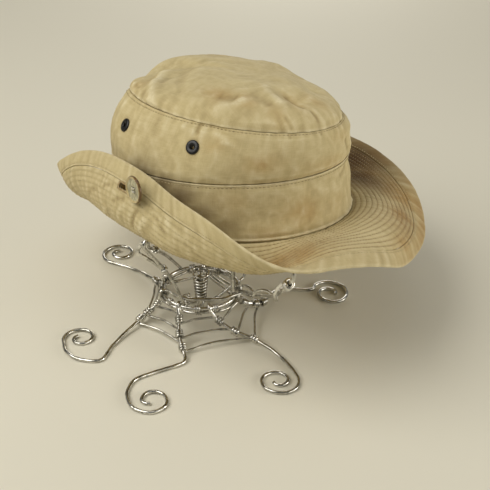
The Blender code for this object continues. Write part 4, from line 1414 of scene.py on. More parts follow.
def brim_ribs(angle, share, depth, seed, crumple, hold):
    """How far the quilted cloth stands out between its stitch rows, and how near each point is to a row.

    Each rib is a low arch between two narrow grooves, uneven along its length, and creases that run outwards
    cross several ribs at once.
    """
    distance = share * BRIM_WIDTH
    rows = row_distances()
    pitch = rows[1] - rows[0]
    off_row = np.abs((distance[:, None] - rows[None])).min(axis=1)
    arch = 0.5 * (1 - hump(off_row, 0.0008)) + 0.5 * np.clip(np.sin(np.pi * off_row / pitch), 0, 1)
    turn = np.radians(angle)[:, None]
    reach = OPENING_LENGTH / 2 + distance[None]
    plan = swung(reach, turn, 0.0)
    polar = swung(0.12, turn, 0.30 * distance[None])
    uneven = 0.8 + 0.45 * lumps(plan, 0.009, seed) + 0.25 * lumps(plan, 0.004, seed + 3)
    across = 0.00030 * creases(polar, 0.0065, seed + 1) + 0.00034 * lumps(polar, 0.012, seed + 2)
    across = across + 0.00020 * lumps(polar, 0.0035, seed + 4) + 0.00024 * creases(plan, 0.011, seed + 5)
    height = depth * arch[None] * uneven + crumple * across * (1 - hold * (1 - arch[None]))
    return height, np.broadcast_to(hump(off_row, 0.0007)[None], height.shape)


def make_brim(skin):
    """The stitched brim: two quilted faces, with the buttonhole's slit cut through both.

    Each face is the middle of the cloth pushed along its normal by half the cloth and by its ribs.
    """
    angles = round_columns(BRIM_COLUMNS)
    width = BRIM_WIDTH - BINDING_WIDTH - GAP / 2
    shares = fine_rows(width, BRIM_LINES, row_distances(), reach=0.0007, more=1.6) / BRIM_WIDTH
    middle, below = brim(angles, shares)
    middle = middle + below * sway(angles, shares)[..., None]
    low_rib, _ = brim_ribs(angles, shares, RIB_BELOW, 41, 0.75, 0.25)
    top_rib, near_row = brim_ribs(angles, shares, RIB_ABOVE, 51, 0.9, 0.65)
    reach = (OPENING_LENGTH + OPENING_WIDTH) / 4 + 0.04
    low_rib = low_rib + round_creases(angles, shares, reach, BRIM_WIDTH, FLAP_CREASES)
    trim = np.clip((width - shares * BRIM_WIDTH) / 0.001, 0, 1) * np.clip(shares * BRIM_WIDTH / 0.001, 0, 1)
    half = BRIM_CLOTH / 2 - 0.0003
    lower = middle + below * (half + low_rib * trim)[..., None]
    upper = middle - below * (half + top_rib * trim)[..., None]
    at, axes = slot_frame()
    local = (middle - at) @ axes.T
    in_slit = (np.abs(local) < (SLOT_LENGTH / 2, SLOT_WIDTH / 2, 0.01)).all(axis=-1)
    lip = np.sign(local[..., 1]) * SLOT_WIDTH / 2 - local[..., 1]
    push = (lip * in_slit)[..., None] * axes[1]
    lower, upper = lower + push, upper + push
    cut = between_columns(in_slit).all(axis=-1)
    turn = np.radians(np.append(angles, angles[:1] + 360))[:, None]
    spread = (OPENING_LENGTH + OPENING_WIDTH) / 4 + shares[None] * BRIM_WIDTH
    flat = np.stack([spread * np.cos(turn), spread * np.sin(turn)], -1)
    rim = np.linalg.norm(np.maximum(np.abs(local[..., :2]) - (SLOT_LENGTH / 2, SLOT_WIDTH / 2), 0), axis=-1)
    # Painted shade round the buttonhole's slit; rows and hollows darker, part dirt and part painted shade
    painted_slit_shade = 1.4 * hump(rim, 0.0009) * (np.abs(local[..., 2]) < 0.004)
    fade_low, groove_low = weathered(low_rib, 0, 0.05 * near_row + painted_slit_shade)
    fade_top, groove_top = weathered(top_rib, 0, 0.12 * near_row)
    fade_top = 0.3 * fade_top
    stain = round_spots(angles, shares, BRIM_STAINS_AND_SHADE)
    shade = np.clip(round_spots(angles, shares, BRIM_SHADE), 0, 0.96)
    piece = cloth_piece(
        "brim_cloth", lower, upper, flat,
        {"fade": fade_low, "groove": groove_low, "stain": 0.3 * stain, "shade": 0.5 * painted_slit_shade}, skin, cut,
        inner_values={"fade": fade_top, "groove": groove_top, "stain": stain, "shade": shade},
    )
    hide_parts("brim")
    rows = []
    for distance in row_distances():
        column = np.argmin(np.abs(shares * BRIM_WIDTH - distance))
        rows.append((lower[:, column], below[:, column]))
        rows.append((upper[:, column], -below[:, column]))
    return rows


def make_binding(skin):
    """The binding: its folded section, plump between its stitch row and the edge, carried round the brim.

    The section runs along the upper face to the rounded edge and back along the lower face. Its thickness
    dips at the stitch row, and puckers and small waves shift it along its normal.
    """
    angles = round_columns(BRIM_COLUMNS + 80)
    start = BRIM_WIDTH - BINDING_WIDTH + GAP / 2
    width = BRIM_WIDTH - start
    half = BINDING_CLOTH / 2
    bend = np.linspace(np.pi / 2, -np.pi / 2, 9)
    flat_part = fine_rows(width - half, 22, (STITCH_ON_BINDING, 0.0), reach=0.0012)[:-1]
    dips = 0.14 * hump(flat_part - STITCH_ON_BINDING, 0.0005) + 0.25 * hump(flat_part, 0.0004)
    plump = half * (1 - dips + 0.10 * hump(flat_part - 0.0065, 0.004))
    along = np.concatenate([flat_part, width - half + half * np.cos(bend), flat_part[::-1]])
    off = np.concatenate([plump, half * np.sin(bend), -plump[::-1]])
    shares = (start + along) / BRIM_WIDTH
    middle, below = brim(angles, shares)
    wave = sway(angles, shares)
    fine = puckers(angles, 0.0062, 33)[:, None] * hump(along - STITCH_ON_BINDING, 0.0055)[None]
    turn = np.radians(angles)[:, None]
    slanted = turn + 4 * along[None]
    bias = swung(0.14, slanted, 0.0)
    twist = 0.00030 * lumps(bias, 0.0085, 34) + 0.00018 * lumps(bias, 0.0045, 35)
    side = np.sign(off)[None]
    grid = middle + below * (wave + off[None] * (1 + 0.20 * fine) + 0.0003 * fine + twist * side)[..., None]
    length = np.pi * (OPENING_LENGTH + OPENING_WIDTH + 4 * BRIM_WIDTH) / 2
    path = np.append(0, np.cumsum(np.hypot(np.diff(along), np.diff(off))))
    path = np.append(path, path[-1] + BINDING_CLOTH)
    round_head = length * np.arange(len(angles) + 1) / len(angles)
    uv = np.stack(np.broadcast_arrays(round_head[:, None], path[None]), -1)
    fade, groove = weathered(
        0.0003 * fine + twist,
        # Paler at the outer fold and, below, just past the inner edge: part wear, part painted highlight
        0.6 * hump(along - width, 0.0012)[None] + (0.5 * hump(along - 0.0006, 0.0005) * (off > 0))[None],
        # Darker at the inner edge and the stitch row: part dirt, part painted shade
        0.10 * hump(along - STITCH_ON_BINDING, 0.0004)[None] + 0.45 * hump(along, 0.0003)[None],
    )
    stain = round_spots(angles, shares, BRIM_STAINS_AND_SHADE)
    shade = np.clip(round_spots(angles, shares, BRIM_SHADE), 0, 0.96) * (side < 0)
    values = {"fade": fade, "groove": groove, "stain": stain * np.where(side < 0, 1, 0.3), "shade": shade}
    piece = section_piece("brim_binding_cloth", grid, uv, values, skin)
    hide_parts("brim_binding")
    column = np.argmin(np.abs(flat_part - STITCH_ON_BINDING))
    other = len(along) - 1 - column
    return [(grid[:, column], below[:, column]), (grid[:, other], -below[:, other])]


# Eyelets, button and thread

def frame_on(normal, up=(0, 0, 1)):
    """Three axes, as rows: the third is the normal, and the second leans towards up."""
    z = normal / np.linalg.norm(normal)
    x = np.cross(up, z)
    x /= np.linalg.norm(x)
    return np.stack([x, np.cross(z, x), z])


def turned_grid(profile, sides):
    """A profile, in radius and height, turned round the third axis."""
    turn = 2 * np.pi * np.arange(sides) / sides
    radius, height = profile.T
    return swung(radius, turn[:, None], height[None])


def make_eyelets(skin):
    """Eyelets: a ring section, rolled over in front and flattened behind, turned round its hole."""
    half_turn = np.linspace(0, np.pi, 13)[:, None]
    hole = 0.58 * EYELET_HOLE
    width = EYELET_FLANGE - hole
    middle = (EYELET_FLANGE + hole) / 2
    front = 0.0005
    bulge = (EYELET_METAL + 0.0003) * np.sin(half_turn) ** 0.8
    over = np.hstack([middle - width / 2 * np.cos(half_turn), front + bulge])
    back = -CROWN_CLOTH - EYELET_PLAY
    rest = np.array([
        (EYELET_FLANGE - 0.0001, front - 0.0003),
        (EYELET_BARREL, front - 0.0003),
        (EYELET_BARREL, back),
        (EYELET_FLANGE, back),
        (EYELET_FLANGE, back - EYELET_METAL / 2),
        (hole + 0.0004, back - EYELET_METAL),
        (hole, back - EYELET_METAL / 2),
    ])
    profile = np.vstack([over, rest])
    for number, angle in enumerate(EYELET_ANGLES, start=1):
        spot, normal = eyelet_place(angle)
        grid = spot + turned_grid(profile, EYELET_SIDES) @ frame_on(normal)
        uv = np.zeros((EYELET_SIDES + 1, len(profile) + 1, 2))
        piece = section_piece(f"eyelet_ring_{number}", grid, uv, {}, skin)
        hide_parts(f"eyelet_{number}")


def brim_spot(angle, share):
    """One point in the middle of the brim's cloth, and its lower face's normal there."""
    points, normals = brim(np.array([float(angle)]), np.array([share]))
    return points[0, 0], normals[0, 0]


def button_frame():
    """The middle of the button's underside and its axes, as rows. It pulls askew on its thread."""
    faces = np.array(BUTTON_FACES) / np.linalg.norm(BUTTON_FACES)
    point, normal = brim_spot(BUTTON_ANGLE, BUTTON_SHARE)
    lean = np.linalg.norm(np.cross(faces, normal))
    return point + normal * (BRIM_CLOTH / 2 + GAP + BUTTON_RADIUS * lean), frame_on(faces)


def slot_frame():
    """The middle of the buttonhole and its axes, as rows: along it, across it and out of the brim's cloth."""
    middle, square = brim_spot(SLOT_ANGLE, SLOT_SHARE)
    along, across, out = frame_on(square)
    c, s = math.cos(math.radians(SLOT_TURN)), math.sin(math.radians(SLOT_TURN))
    return middle, np.stack([c * along - s * across, s * along + c * across, out])


def make_button(skin, white):
    """The button: a turned disc with a rolled rim and a dished middle, its four holes pressed in as pits."""
    spot, axes = button_frame()
    top, dish = BUTTON_THICKNESS, BUTTON_THICKNESS - BUTTON_DISH
    rim = BUTTON_RADIUS - BUTTON_RIM
    face = np.array([
        (rim - 0.0008, dish), (rim - 0.0002, dish + 0.0002), (rim + 0.0004, top - 0.0003),
        (rim + 0.0010, top), (rim + 0.0017, top), (BUTTON_RADIUS - 0.0003, top - 0.0006),
        (BUTTON_RADIUS, top / 2),
        (BUTTON_RADIUS - 0.0003, 0.0006), (BUTTON_RADIUS - 0.0012, 0.0001), (BUTTON_RADIUS - 0.0030, 0.0),
    ])
    flat = np.linspace(0.0002, rim - 0.0010, 34)
    middle = np.stack([flat, np.full(len(flat), dish)], -1)
    curve = smooth(np.hstack([face, np.zeros((len(face), 1))]), 4)[:, :2]
    under = np.stack([np.linspace(BUTTON_RADIUS - 0.0034, 0.0004, 12), np.zeros(12)], -1)
    profile = np.vstack([middle, curve, under])
    grid = turned_grid(profile, BUTTON_SIDES)
    pit = np.zeros(grid.shape[:2])
    for quarter in range(4):
        turn = math.radians(45 + 90 * quarter)
        hole = BUTTON_HOLE_SPREAD * np.array([math.cos(turn), math.sin(turn)])
        away = np.hypot(*(grid[..., :2] - hole).T).T
        pit = np.maximum(pit, np.clip((BUTTON_HOLE - away) / PIT_BLUR + 0.5, 0, 1))
    pit[:, len(middle) :] = 0
    grid[..., 2] -= pit * PIT_DEPTH
    count, depth = grid.shape[:2]
    index, after, quads = grid_index(count, depth)
    first = np.stack([after[:, 0], index[:, 0], np.full(count, count * depth)], -1)
    last = np.stack([index[:, -1], after[:, -1], np.full(count, count * depth + 1)], -1)
    points = np.vstack([grid.reshape(-1, 3), [[0, 0, dish], [0, 0, 0]]])
    ring_value = np.append(np.hypot(points[:-2, 0], points[:-2, 1]) / BUTTON_RADIUS, [0, 0])
    button = finish_mesh(
        "horn_button", on_hat(spot + points @ axes),
        quads.reshape(-1, 4).tolist() + first.tolist() + last.tolist(), None,
        {"ring": ring_value, "pit": np.append(pit.ravel(), [0, 0])}, skin,
    )
    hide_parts("button")
    strands = []
    for side in (-1, 1):
        for shift in (-0.0003, 0.0003):
            t = np.linspace(-1, 1, 15)[:, None]
            reach = BUTTON_HOLE_SPREAD / math.sqrt(2)
            arch = dish + 0.0007 * np.sqrt(np.clip(1 - (t / 1.02) ** 4, 0, 1)) - 0.0008 * np.abs(t) ** 6
            path = np.hstack([reach * 1.25 * t, side * reach + shift + 0 * t, arch])
            strands.append((spot + path @ axes, BUTTON_SEWING, False))
    thread = thread_piece("button_sewing", strands, white)


def make_button_shank(skin):
    """The thread from the button through the buttonhole to the crown's wall: strands wound together."""
    spot, axes = button_frame()
    at, slot_axes = slot_frame()
    outer = spot - axes[2] * GAP
    through = at + slot_axes[0] * THREAD_IN_SLOT
    turns = BUTTON_ANGLE + np.linspace(-20, 20, 161)[:, None]
    spots_on_wall = wall(turns, np.linspace(0, 2, 161)[None]).reshape(-1, 3)
    off_line = np.linalg.norm(np.cross(spots_on_wall - outer, through - outer), axis=1)
    inner = spots_on_wall[np.argmin(off_line)]
    run = outer - inner
    way = run / np.linalg.norm(run)
    side, up = square_axes(way)
    t = np.linspace(0.02, 1, 60)[:, None]
    strands = []
    for start in (0, 120, 240):
        turn = np.radians(start) + 2 * np.pi * 6 * t
        path = inner + run * t + 0.55 * THREAD_RADIUS * (np.cos(turn) * side + np.sin(turn) * up)
        strands.append((path, 0.45 * THREAD_RADIUS, False))
    shank = thread_piece("button_shank", strands, skin)
    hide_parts("button_thread")


def make_buttonhole(skin):
    """The buttonhole's edge: one thread whipped round the slit on the outer face, to and fro over its lip.

    The thread follows the slit's oblong outline. It swings outwards and rises and falls with every stitch, on
    a quadratic surface fitted to the brim's lower face round the slit.
    """
    at, axes = slot_frame()
    near = brim(SLOT_ANGLE + np.linspace(-9, 9, 19), SLOT_SHARE + np.linspace(-0.08, 0.08, 9))
    local = (near[0] + near[1] * BRIM_CLOTH / 2 - at).reshape(-1, 3) @ axes.T

    def terms(x, y):
        return np.stack([1 + 0 * x, x, y, x * x, x * y, y * y], -1)

    surface = np.linalg.lstsq(terms(local[:, 0], local[:, 1]), local[:, 2], rcond=None)[0]
    half = np.array([SLOT_LENGTH / 2, SLOT_WIDTH / 2])
    corners = half * np.array([(1, 1), (-1, 1), (-1, -1), (1, -1), (1, 1)])
    outline = spaced(corners, 0.00012)[:-1]
    way = np.roll(outline, -3, axis=0) - np.roll(outline, 3, axis=0)
    away = -unit(np.stack([way[:, 1], -way[:, 0]], -1))
    swing = np.arange(len(outline))[:, None] * 2 * np.pi * BUTTONHOLE_STITCHES / len(outline)
    flat = outline - away * (0.0006 - 0.0006 * np.cos(swing))
    lift = 0.00025 + 0.0002 * np.sin(swing[:, 0] / 2) ** 2
    path = np.column_stack([flat, terms(flat[:, 0], flat[:, 1]) @ surface + lift]) @ axes + at
    edge = thread_piece("buttonhole_stitches", [(path, 0.00026, True)], skin, sides=5)


# Stand

def on_stand(angle, out, height):
    """Points that far out from the stand's middle at that angle and height."""
    return STAND_MIDDLE + swung(out, np.radians(angle), height)


def leg_route(leg):
    """A leg's route down through the web, along the floor and into its curl, and its web crossings."""
    floor = LEG_WIRE
    route = [on_stand(leg["hub"], HUB_RADIUS + HUB_WIRE + GAP + LEG_WIRE, HUB_HEIGHT)]
    for i, (out, height) in enumerate(WEB_LEVELS, start=1):
        share = i / len(WEB_LEVELS)
        angle = leg["hub"] + (leg["web"] - leg["hub"]) * share
        stretch = 1 + (leg["stretch"] - 1) * share
        route.append(on_stand(angle, HUB_RADIUS * out * stretch, HUB_HEIGHT * height))
    route.append(on_stand(leg["bend"], LEG_REACH * leg["bend_out"], floor))
    heel = on_stand(leg["heel"], LEG_REACH * leg["heel_out"], floor)
    foot = on_stand(leg["foot"], LEG_REACH * leg["foot_out"], floor)
    away = heel - foot
    first = np.degrees(np.arctan2(away[1], away[0]))
    reach = SCROLL_RADIUS * leg["size"] * CURL[:, 1]
    reach[0] = np.hypot(away[0], away[1])
    turned = np.arange(30, CURL[-1, 0] + 1, 30)
    out = np.interp(turned, CURL[:, 0], reach)
    turn = np.radians(first + leg["curl"] * turned)
    curl = foot + swung(out, turn, 0.0)
    path = smooth(np.vstack([route, [heel], curl]), 8)
    path[:, 2] = np.maximum(path[:, 2], floor)
    crossings = []
    for i in range(1, 1 + len(WEB_LEVELS)):
        run = route[i + 1] - route[i - 1]
        crossings.append((route[i], run / np.linalg.norm(run)))
    return path, crossings


def square_axes(run):
    """Two directions square to a run and to each other."""
    first = np.cross(run, (0, 0, 1.0))
    first /= np.linalg.norm(first)
    return first, np.cross(run, first)


def wrap(centre, run, radius, wire, first, turns, steps=16):
    """A wire wound round another: a helix of that radius about the run, turns times, its coils touching."""
    across, up = square_axes(run)
    count = int(abs(turns) * steps) + 1
    turned = math.radians(first) + np.linspace(0, 2 * math.pi * turns, count)
    advance = np.linspace(-0.5, 0.5, count) * abs(turns) * (2 * wire + 0.0001)
    circle = np.cos(turned)[:, None] * across + np.sin(turned)[:, None] * up
    return centre + radius * circle + advance[:, None] * run


def web_route(crossings):
    """One level of the web: a wire that is wound twice round each leg and hangs slack to the next."""
    spots_on_legs = np.array([point for point, run in crossings])
    following = np.roll(spots_on_legs, -1, axis=0)
    halfway = (spots_on_legs + following) / 2 - STAND_MIDDLE
    slack = STAND_MIDDLE + halfway * np.array([WEB_SLACK, WEB_SLACK, 1])
    pull = 2 * slack - (spots_on_legs + following) / 2
    radius = LEG_WIRE + WEB_WIRE
    windings = []
    for k, (point, run) in enumerate(crossings):
        across, up = square_axes(run)
        arriving, leaving = point - pull[k - 1], pull[k] - point
        first = math.degrees(math.atan2(arriving @ up, arriving @ across)) - 90
        last = math.degrees(math.atan2(leaving @ up, leaving @ across)) - 90
        turns = 2 + ((last - first) % 360) / 360
        windings.append(wrap(point, run, radius, WEB_WIRE, first, turns))
    route = []
    for k, winding in enumerate(windings):
        start, stop = winding[-1], windings[(k + 1) % len(windings)][0]
        t = np.linspace(0, 1, 18)[1:-1, None]
        strand = (1 - t) ** 2 * start + 2 * t * (1 - t) * pull[k] + t**2 * stop
        wobble = np.stack([lumps(strand, 0.012, 61 + axis) for axis in range(3)], -1)
        route += [winding, strand + 0.0006 * wobble * np.sin(np.pi * t)]
    return np.vstack(route)


def carrier_route(row, seat, normal):
    """A wire from the hub's ring to a seat under the hat, which it meets square to the cloth."""
    seat = seat @ HAT_TURN.T + HAT_PLACE - SHIFT
    normal = normal @ HAT_TURN.T
    start = on_stand(row["hub"], HUB_RADIUS, HUB_HEIGHT + HUB_WIRE + GAP)
    run = seat - start
    first = run * np.array([row["bow_out"], row["bow_out"], row["bow_up"]])
    start[2] += ARM_WIRE * np.hypot(first[0], first[1]) / np.linalg.norm(first)
    route = smooth([start, start + first, seat + normal * SEAT_APPROACH], 12)
    before, corner = route[-2:]
    turn_in = corner + (before - corner) / np.linalg.norm(before - corner) * SEAT_APPROACH / 2
    route = np.vstack([route[:-1], turn_in, (corner + seat) / 2, seat])
    return route


def hand_bent(path, size=0.012, depth=0.0005, seed=71):
    """A path with the small wobbles of wire bent by hand, none at its ends."""
    wobble = np.stack([lumps(path, size, seed + axis) for axis in range(3)], -1)
    share = np.linspace(0, 1, len(path))[:, None]
    return path + depth * wobble * np.clip(8 * share, 0, 1) * np.clip(8 * (1 - share), 0, 1)


def wire_node(name, wires, skin, nodes, sides=WIRE_SIDES):
    """A piece of wires that stands for those solids of the stand."""
    piece = wire_piece(name, wires, skin, sides)
    if nodes:
        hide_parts(*nodes)
    return piece


def make_legs(skin):
    """The legs, each hooked over the ring, run out through the web and curled on the floor; and the web."""
    crossings = []
    for number, values in enumerate(LEGS, start=1):
        leg = dict(zip(LEG_COLUMNS, values))
        path, crossing = leg_route(leg)
        crossings.append(crossing)
        turn = np.radians(np.linspace(215, 20, 12))
        reach = HUB_WIRE + GAP + LEG_WIRE
        hook = on_stand(leg["hub"], HUB_RADIUS + reach * np.cos(turn), HUB_HEIGHT + reach * np.sin(turn))
        path = np.vstack([hook, path])
        settled = path.copy()
        settled[len(hook) :] = hand_bent(path[len(hook) :], seed=70 + 3 * number)
        settled[:, 2] = np.maximum(settled[:, 2], LEG_WIRE)
        wire_node(f"leg_wire_{number}", [(settled, LEG_WIRE, False)], skin, [f"leg_{number}"])
    for level in range(len(WEB_LEVELS)):
        route = web_route([crossing[level] for crossing in crossings])
        nodes = [f"web_{level + 1}_{number}" for number in range(1, 1 + len(LEGS))]
        wire_node(f"web_wire_{level + 1}", [(route, WEB_WIRE, True)], skin, nodes, sides=8)


def make_hub(skin):
    """The hub: the ring, a second strand under it, thin wire bound round both, and the bundle inside."""
    turns = np.arange(120) * 3.0
    wires = [(on_stand(turns, HUB_RADIUS, HUB_HEIGHT), HUB_WIRE, True)]
    wander = 0.0009 * np.sin(np.radians(3 * turns)) + 0.0006 * np.sin(np.radians(7 * turns))
    low = HUB_HEIGHT - 2 * HUB_WIRE - 0.0004 - 0.0008 * np.sin(np.radians(2 * turns + 40)) ** 2
    wires.append((on_stand(turns, HUB_RADIUS + 0.0004 + wander, low), 0.9 * HUB_WIRE, True))
    wire_node("hub_ring_wires", wires, skin, ["hub_ring"])
    bindings = []
    for number, angle in enumerate(BOUND_ANGLES):
        across = np.radians(angle + 90)
        run = np.array([np.cos(across), np.sin(across), 0.0])
        centre = on_stand(angle, HUB_RADIUS, HUB_HEIGHT - HUB_WIRE)
        turned = np.linspace(0, 2 * np.pi * (2 + number % 3), 28 * (2 + number % 3))[:, None]
        out = on_stand(angle, HUB_RADIUS + 1.0, 0) - on_stand(angle, HUB_RADIUS, 0)
        tall = np.array([0, 0, 2 * HUB_WIRE + COIL_WIRE])
        flat = (HUB_WIRE + COIL_WIRE) * out
        pitch = 2 * COIL_WIRE + 0.0001
        path = centre + np.cos(turned) * flat + np.sin(turned) * tall
        path = path + (turned / (2 * np.pi) - 1.2) * pitch * run
        bindings.append((path, COIL_WIRE * 0.9, False))
    wire_node("hub_bindings", bindings, skin, [], sides=8)
    up = np.linspace(0, 1, 60)
    bundle = []
    for start in (0, 120, 240):
        turn = start + 360 * 1.5 * up
        height = CORE_FOOT + (CORE_HEIGHT - CORE_FOOT) * up
        bundle.append((on_stand(turn, 0.52 * CORE_RADIUS, height), 0.47 * CORE_RADIUS, False))
    wire_node("hub_core_wires", bundle, skin, ["hub_core"])
    coil_turns = np.arange(COIL_TURNS * 24 + 1) / 24
    wide = CORE_RADIUS + GAP + COIL_WIRE + 0.0013 * (coil_turns / COIL_TURNS) ** 1.5
    coil = on_stand(360 * coil_turns, wide, COIL_FOOT + COIL_PITCH * coil_turns)
    wire_node("hub_coil_wire", [(coil, 1.15 * COIL_WIRE, False)], skin, ["hub_coil"], sides=8)
    inner_end = HUB_RADIUS - HUB_WIRE - GAP - ARM_WIRE / 2
    for number, angle in enumerate(SPOKE_ANGLES, start=1):
        route = smooth([
            on_stand(angle, inner_end, HUB_HEIGHT),
            on_stand(angle, (inner_end + CORE_RADIUS) / 2, SPOKE_SAG),
            on_stand(angle, CORE_RADIUS + SEAT_APPROACH, SPOKE_FOOT),
            on_stand(angle, CORE_RADIUS + GAP, SPOKE_FOOT),
        ], 8)
        route = hand_bent(route, seed=90 + number)
        wire_node(f"spoke_wire_{number}", [(route, ARM_WIRE, False)], skin, [f"spoke_{number}"])


def make_carriers(skin):
    """The arms under the brim and the posts under the tip. The front arm is a twisted pair with a knob."""
    for number, values in enumerate(ARMS, start=1):
        row = dict(zip(CARRIER_COLUMNS, values))
        point, normal = brim(np.array([float(row["angle"])]), np.array([row["share"]]))
        seat = point[0, 0] + normal[0, 0] * (BRIM_CLOTH / 2 + GAP + ARM_WIRE)
        route = carrier_route(row, seat, normal[0, 0])
        knot = 15 if row["hairpin"] else 19
        if row["hairpin"]:
            back = route[knot] - route[-1]
            pull = np.array(HAIRPIN_PULL)
            turn = [route[-1] + back * share + pull * out for share, out in HAIRPIN_TURN]
            route = np.vstack([route, smooth(turn, 8)[1:]])
        wires = [(route, ARM_WIRE, False)]
        if number == 3:
            wires += twisted_mate(route)
        else:
            run = route[knot + 1] - route[knot - 1]
            run /= np.linalg.norm(run)
            wires.append((wrap(route[knot], run, ARM_WIRE + COIL_WIRE, COIL_WIRE, 0, 2.2), COIL_WIRE, False))
        wire_node(f"arm_wire_{number}", wires, skin, [f"arm_{number}"])
    for number, values in enumerate(POSTS, start=1):
        row = dict(zip(CARRIER_COLUMNS, values))
        seat = tip(row["angle"], row["share"]) - np.array([0, 0, CROWN_CLOTH + GAP])
        route = carrier_route(row, seat, np.array([0, 0, -1.0]))
        thick = ARM_WIRE * POST_THICKNESS[number - 1]
        wire_node(f"post_wire_{number}", [(route, thick, False)], skin, [f"post_{number}"])


def make_strands(skin):
    """Loose wires over the hub: the hairpin's tail round the ring's front, a curl on the coil, a spring."""
    tail = smooth(STAND_MIDDLE + np.array(FRONT_STRAND), 10)
    turns = np.linspace(0, 1, 60)[:, None]
    round_coil = 2 * np.pi * 1.35 * turns
    curl = STAND_MIDDLE + np.hstack([
        0.0052 * np.cos(round_coil) * (1 + 0.5 * turns), 0.0052 * np.sin(round_coil) * (1 + 0.5 * turns),
        CORE_HEIGHT + 0.0008 + 0.0030 * turns,
    ])
    spring_turn = 2 * np.pi * 5 * turns
    spring = STAND_MIDDLE + np.array(SPRING_FOOT) + np.hstack([
        0.0024 * np.cos(spring_turn), 0.0024 * np.sin(spring_turn), 0.011 * turns,
    ])
    wires = [(tail, ARM_WIRE, False), (curl, 0.0009, False), (spring, 0.0006, False)]
    wire_node("loose_strands", wires, skin, [], sides=10)


def twisted_mate(route):
    """A second wire that winds loosely round the first, and the knob of tight turns at their end."""
    even = spaced(route[:-4], 0.0012)
    way = unit(np.gradient(even, axis=0))
    across = unit(np.cross(way, (0, 0, 1.0)))
    up = np.cross(across, way)
    share = np.linspace(0, 1, len(even))[:, None]
    turn = 2 * np.pi * 2.4 * share
    reach = (2 * ARM_WIRE + 0.0002) * (1 + 0.6 * np.sin(2 * np.pi * 1.6 * share) ** 2)
    mate = even + reach * (np.cos(turn) * across + np.sin(turn) * up)
    end, run = route[-6], way[-1]
    knob = wrap(end, run, 2 * ARM_WIRE + 0.0002, ARM_WIRE * 0.8, 40, 3)
    return [(mate, ARM_WIRE * 0.8, False), (knob, ARM_WIRE * 0.8, False)]


# Studio

def photograph_camera():
    """The camera of the photograph, set out from the hat's own frame."""
    turn, rise, roll = np.radians([CAMERA_TURN, CAMERA_RISE, CAMERA_ROLL])
    back = np.array([np.sin(turn) * np.cos(rise), -np.cos(turn) * np.cos(rise), np.sin(rise)])
    right = np.array([np.cos(turn), np.sin(turn), 0.0])
    up = np.cross(back, right)
    right, up = np.cos(roll) * right + np.sin(roll) * up, -np.sin(roll) * right + np.cos(roll) * up
    eye = right * CAMERA_RIGHT - up * CAMERA_DROP + back * CAMERA_DISTANCE
    data = bpy.data.cameras.new("photograph_camera")
    data.lens = CAMERA_LENS
    camera = bpy.data.objects.new("photograph_camera", data)
    bpy.context.scene.collection.objects.link(camera)
    axes = Matrix((Vector(right), Vector(up), Vector(back))).transposed().to_4x4()
    camera.matrix_world = HAT @ Matrix.Translation(Vector(eye)) @ axes
    bpy.context.scene.camera = camera


def area_light(name, turn, rise, distance, size, power):
    """A round soft light, turned so far to the right of the camera and raised so far, that faces the hat."""
    turn, rise = math.radians(CAMERA_TURN + turn), math.radians(rise)
    way = Vector((math.sin(turn) * math.cos(rise), -math.cos(turn) * math.cos(rise), math.sin(rise)))
    data = bpy.data.lights.new(name, "AREA")
    data.shape = "DISK"
    data.size = size
    data.energy = power
    data.color = LIGHT_COLOUR
    light = bpy.data.objects.new(name, data)
    bpy.context.scene.collection.objects.link(light)
    light.location = Vector((0, 0, 0.1)) + distance * way
    light.rotation_euler = (-way).to_track_quat("-Z", "Y").to_euler()


def studio_paper():
    """Pale paper for the floor."""
    made, _, shader = new_material("studio_paper", roughness=0.8)
    shader.inputs["Base Color"].default_value = paint(0.88, 0.86, 0.79)
    return made


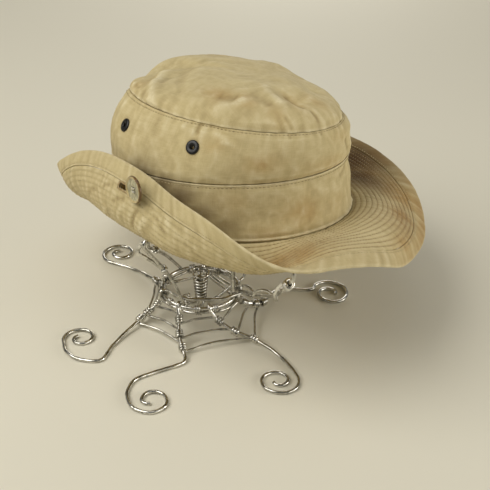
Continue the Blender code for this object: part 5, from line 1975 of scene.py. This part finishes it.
def make_studio():
    """A plain pale floor, five soft windows, and air that lights less than it shows to the camera."""
    turn = np.linspace(0, 2 * np.pi, 48, endpoint=False)
    rim = swung(FLOOR_REACH, turn, 0.0)
    mesh = bpy.data.meshes.new("studio_floor")
    mesh.from_pydata(rim.tolist(), [], [list(range(len(rim)))])
    floor = bpy.data.objects.new("studio_floor", mesh)
    bpy.context.scene.collection.objects.link(floor)
    floor.data.materials.append(studio_paper())
    for values in LIGHTS:
        area_light(*values)
    world = bpy.data.worlds.new("studio_air")
    world.use_nodes = True
    tree = world.node_tree
    air = tree.nodes["Background"]
    air.inputs["Color"].default_value = AIR_COLOUR
    path = tree.nodes.new("ShaderNodeLightPath")
    lit = reckon(tree, "MULTIPLY_ADD", path.outputs["Is Diffuse Ray"], AIR_STRENGTH - AIR_SEEN, AIR_SEEN)
    lit = reckon(tree, "MULTIPLY_ADD", path.outputs["Is Glossy Ray"], AIR_IN_METAL - AIR_SEEN, lit)
    tree.links.new(lit, air.inputs["Strength"])
    bpy.context.scene.world = world
    bpy.context.scene.view_settings.view_transform = "Standard"


def main():
    """Makes the materials, the camera, the hat, the stand and the studio."""
    weave = twill_weave()
    cotton = washed_cotton()
    crown_twill = make_twill("washed_crown_twill", 0.0008, 0.00012, weave, cotton)
    brim_twill = make_twill("washed_brim_twill", 0.0008, 0.00014, weave, cotton)
    seam_thread = make_thread("khaki_seam_thread", paint(0.50, 0.43, 0.29), paint(0.70, 0.63, 0.47))
    # Darker than the cloth: part the thread's own colour, part painted shade of the rows' grooves
    row_thread = make_thread("khaki_row_thread", paint(0.60, 0.50, 0.33), paint(0.72, 0.63, 0.46))
    faded_thread = make_thread("khaki_faded_thread", paint(0.68, 0.61, 0.45), paint(0.78, 0.72, 0.55))
    button_thread = make_thread("pale_button_thread", paint(0.74, 0.71, 0.62), paint(0.90, 0.88, 0.82))
    steel = make_bright_wire()
    photograph_camera()
    crown_rows = make_lower_band(crown_twill) + make_side_panel(crown_twill)
    make_crown_tip(crown_twill)
    brim_rows = make_brim(brim_twill)
    binding_rows = make_binding(brim_twill)
    for name, rows, thread in (
        ("crown_stitches", crown_rows, seam_thread),
        ("brim_stitches_below", brim_rows[0::2], faded_thread),
        ("brim_stitches_above", brim_rows[1::2], row_thread),
        ("binding_stitches", binding_rows, faded_thread),
    ):
        stitches(name, rows, thread)
    make_eyelets(make_blackened_metal())
    make_button(make_horn(), button_thread)
    make_button_shank(seam_thread)
    make_buttonhole(row_thread)
    make_legs(steel)
    make_hub(steel)
    make_carriers(steel)
    make_strands(steel)
    make_studio()


main()
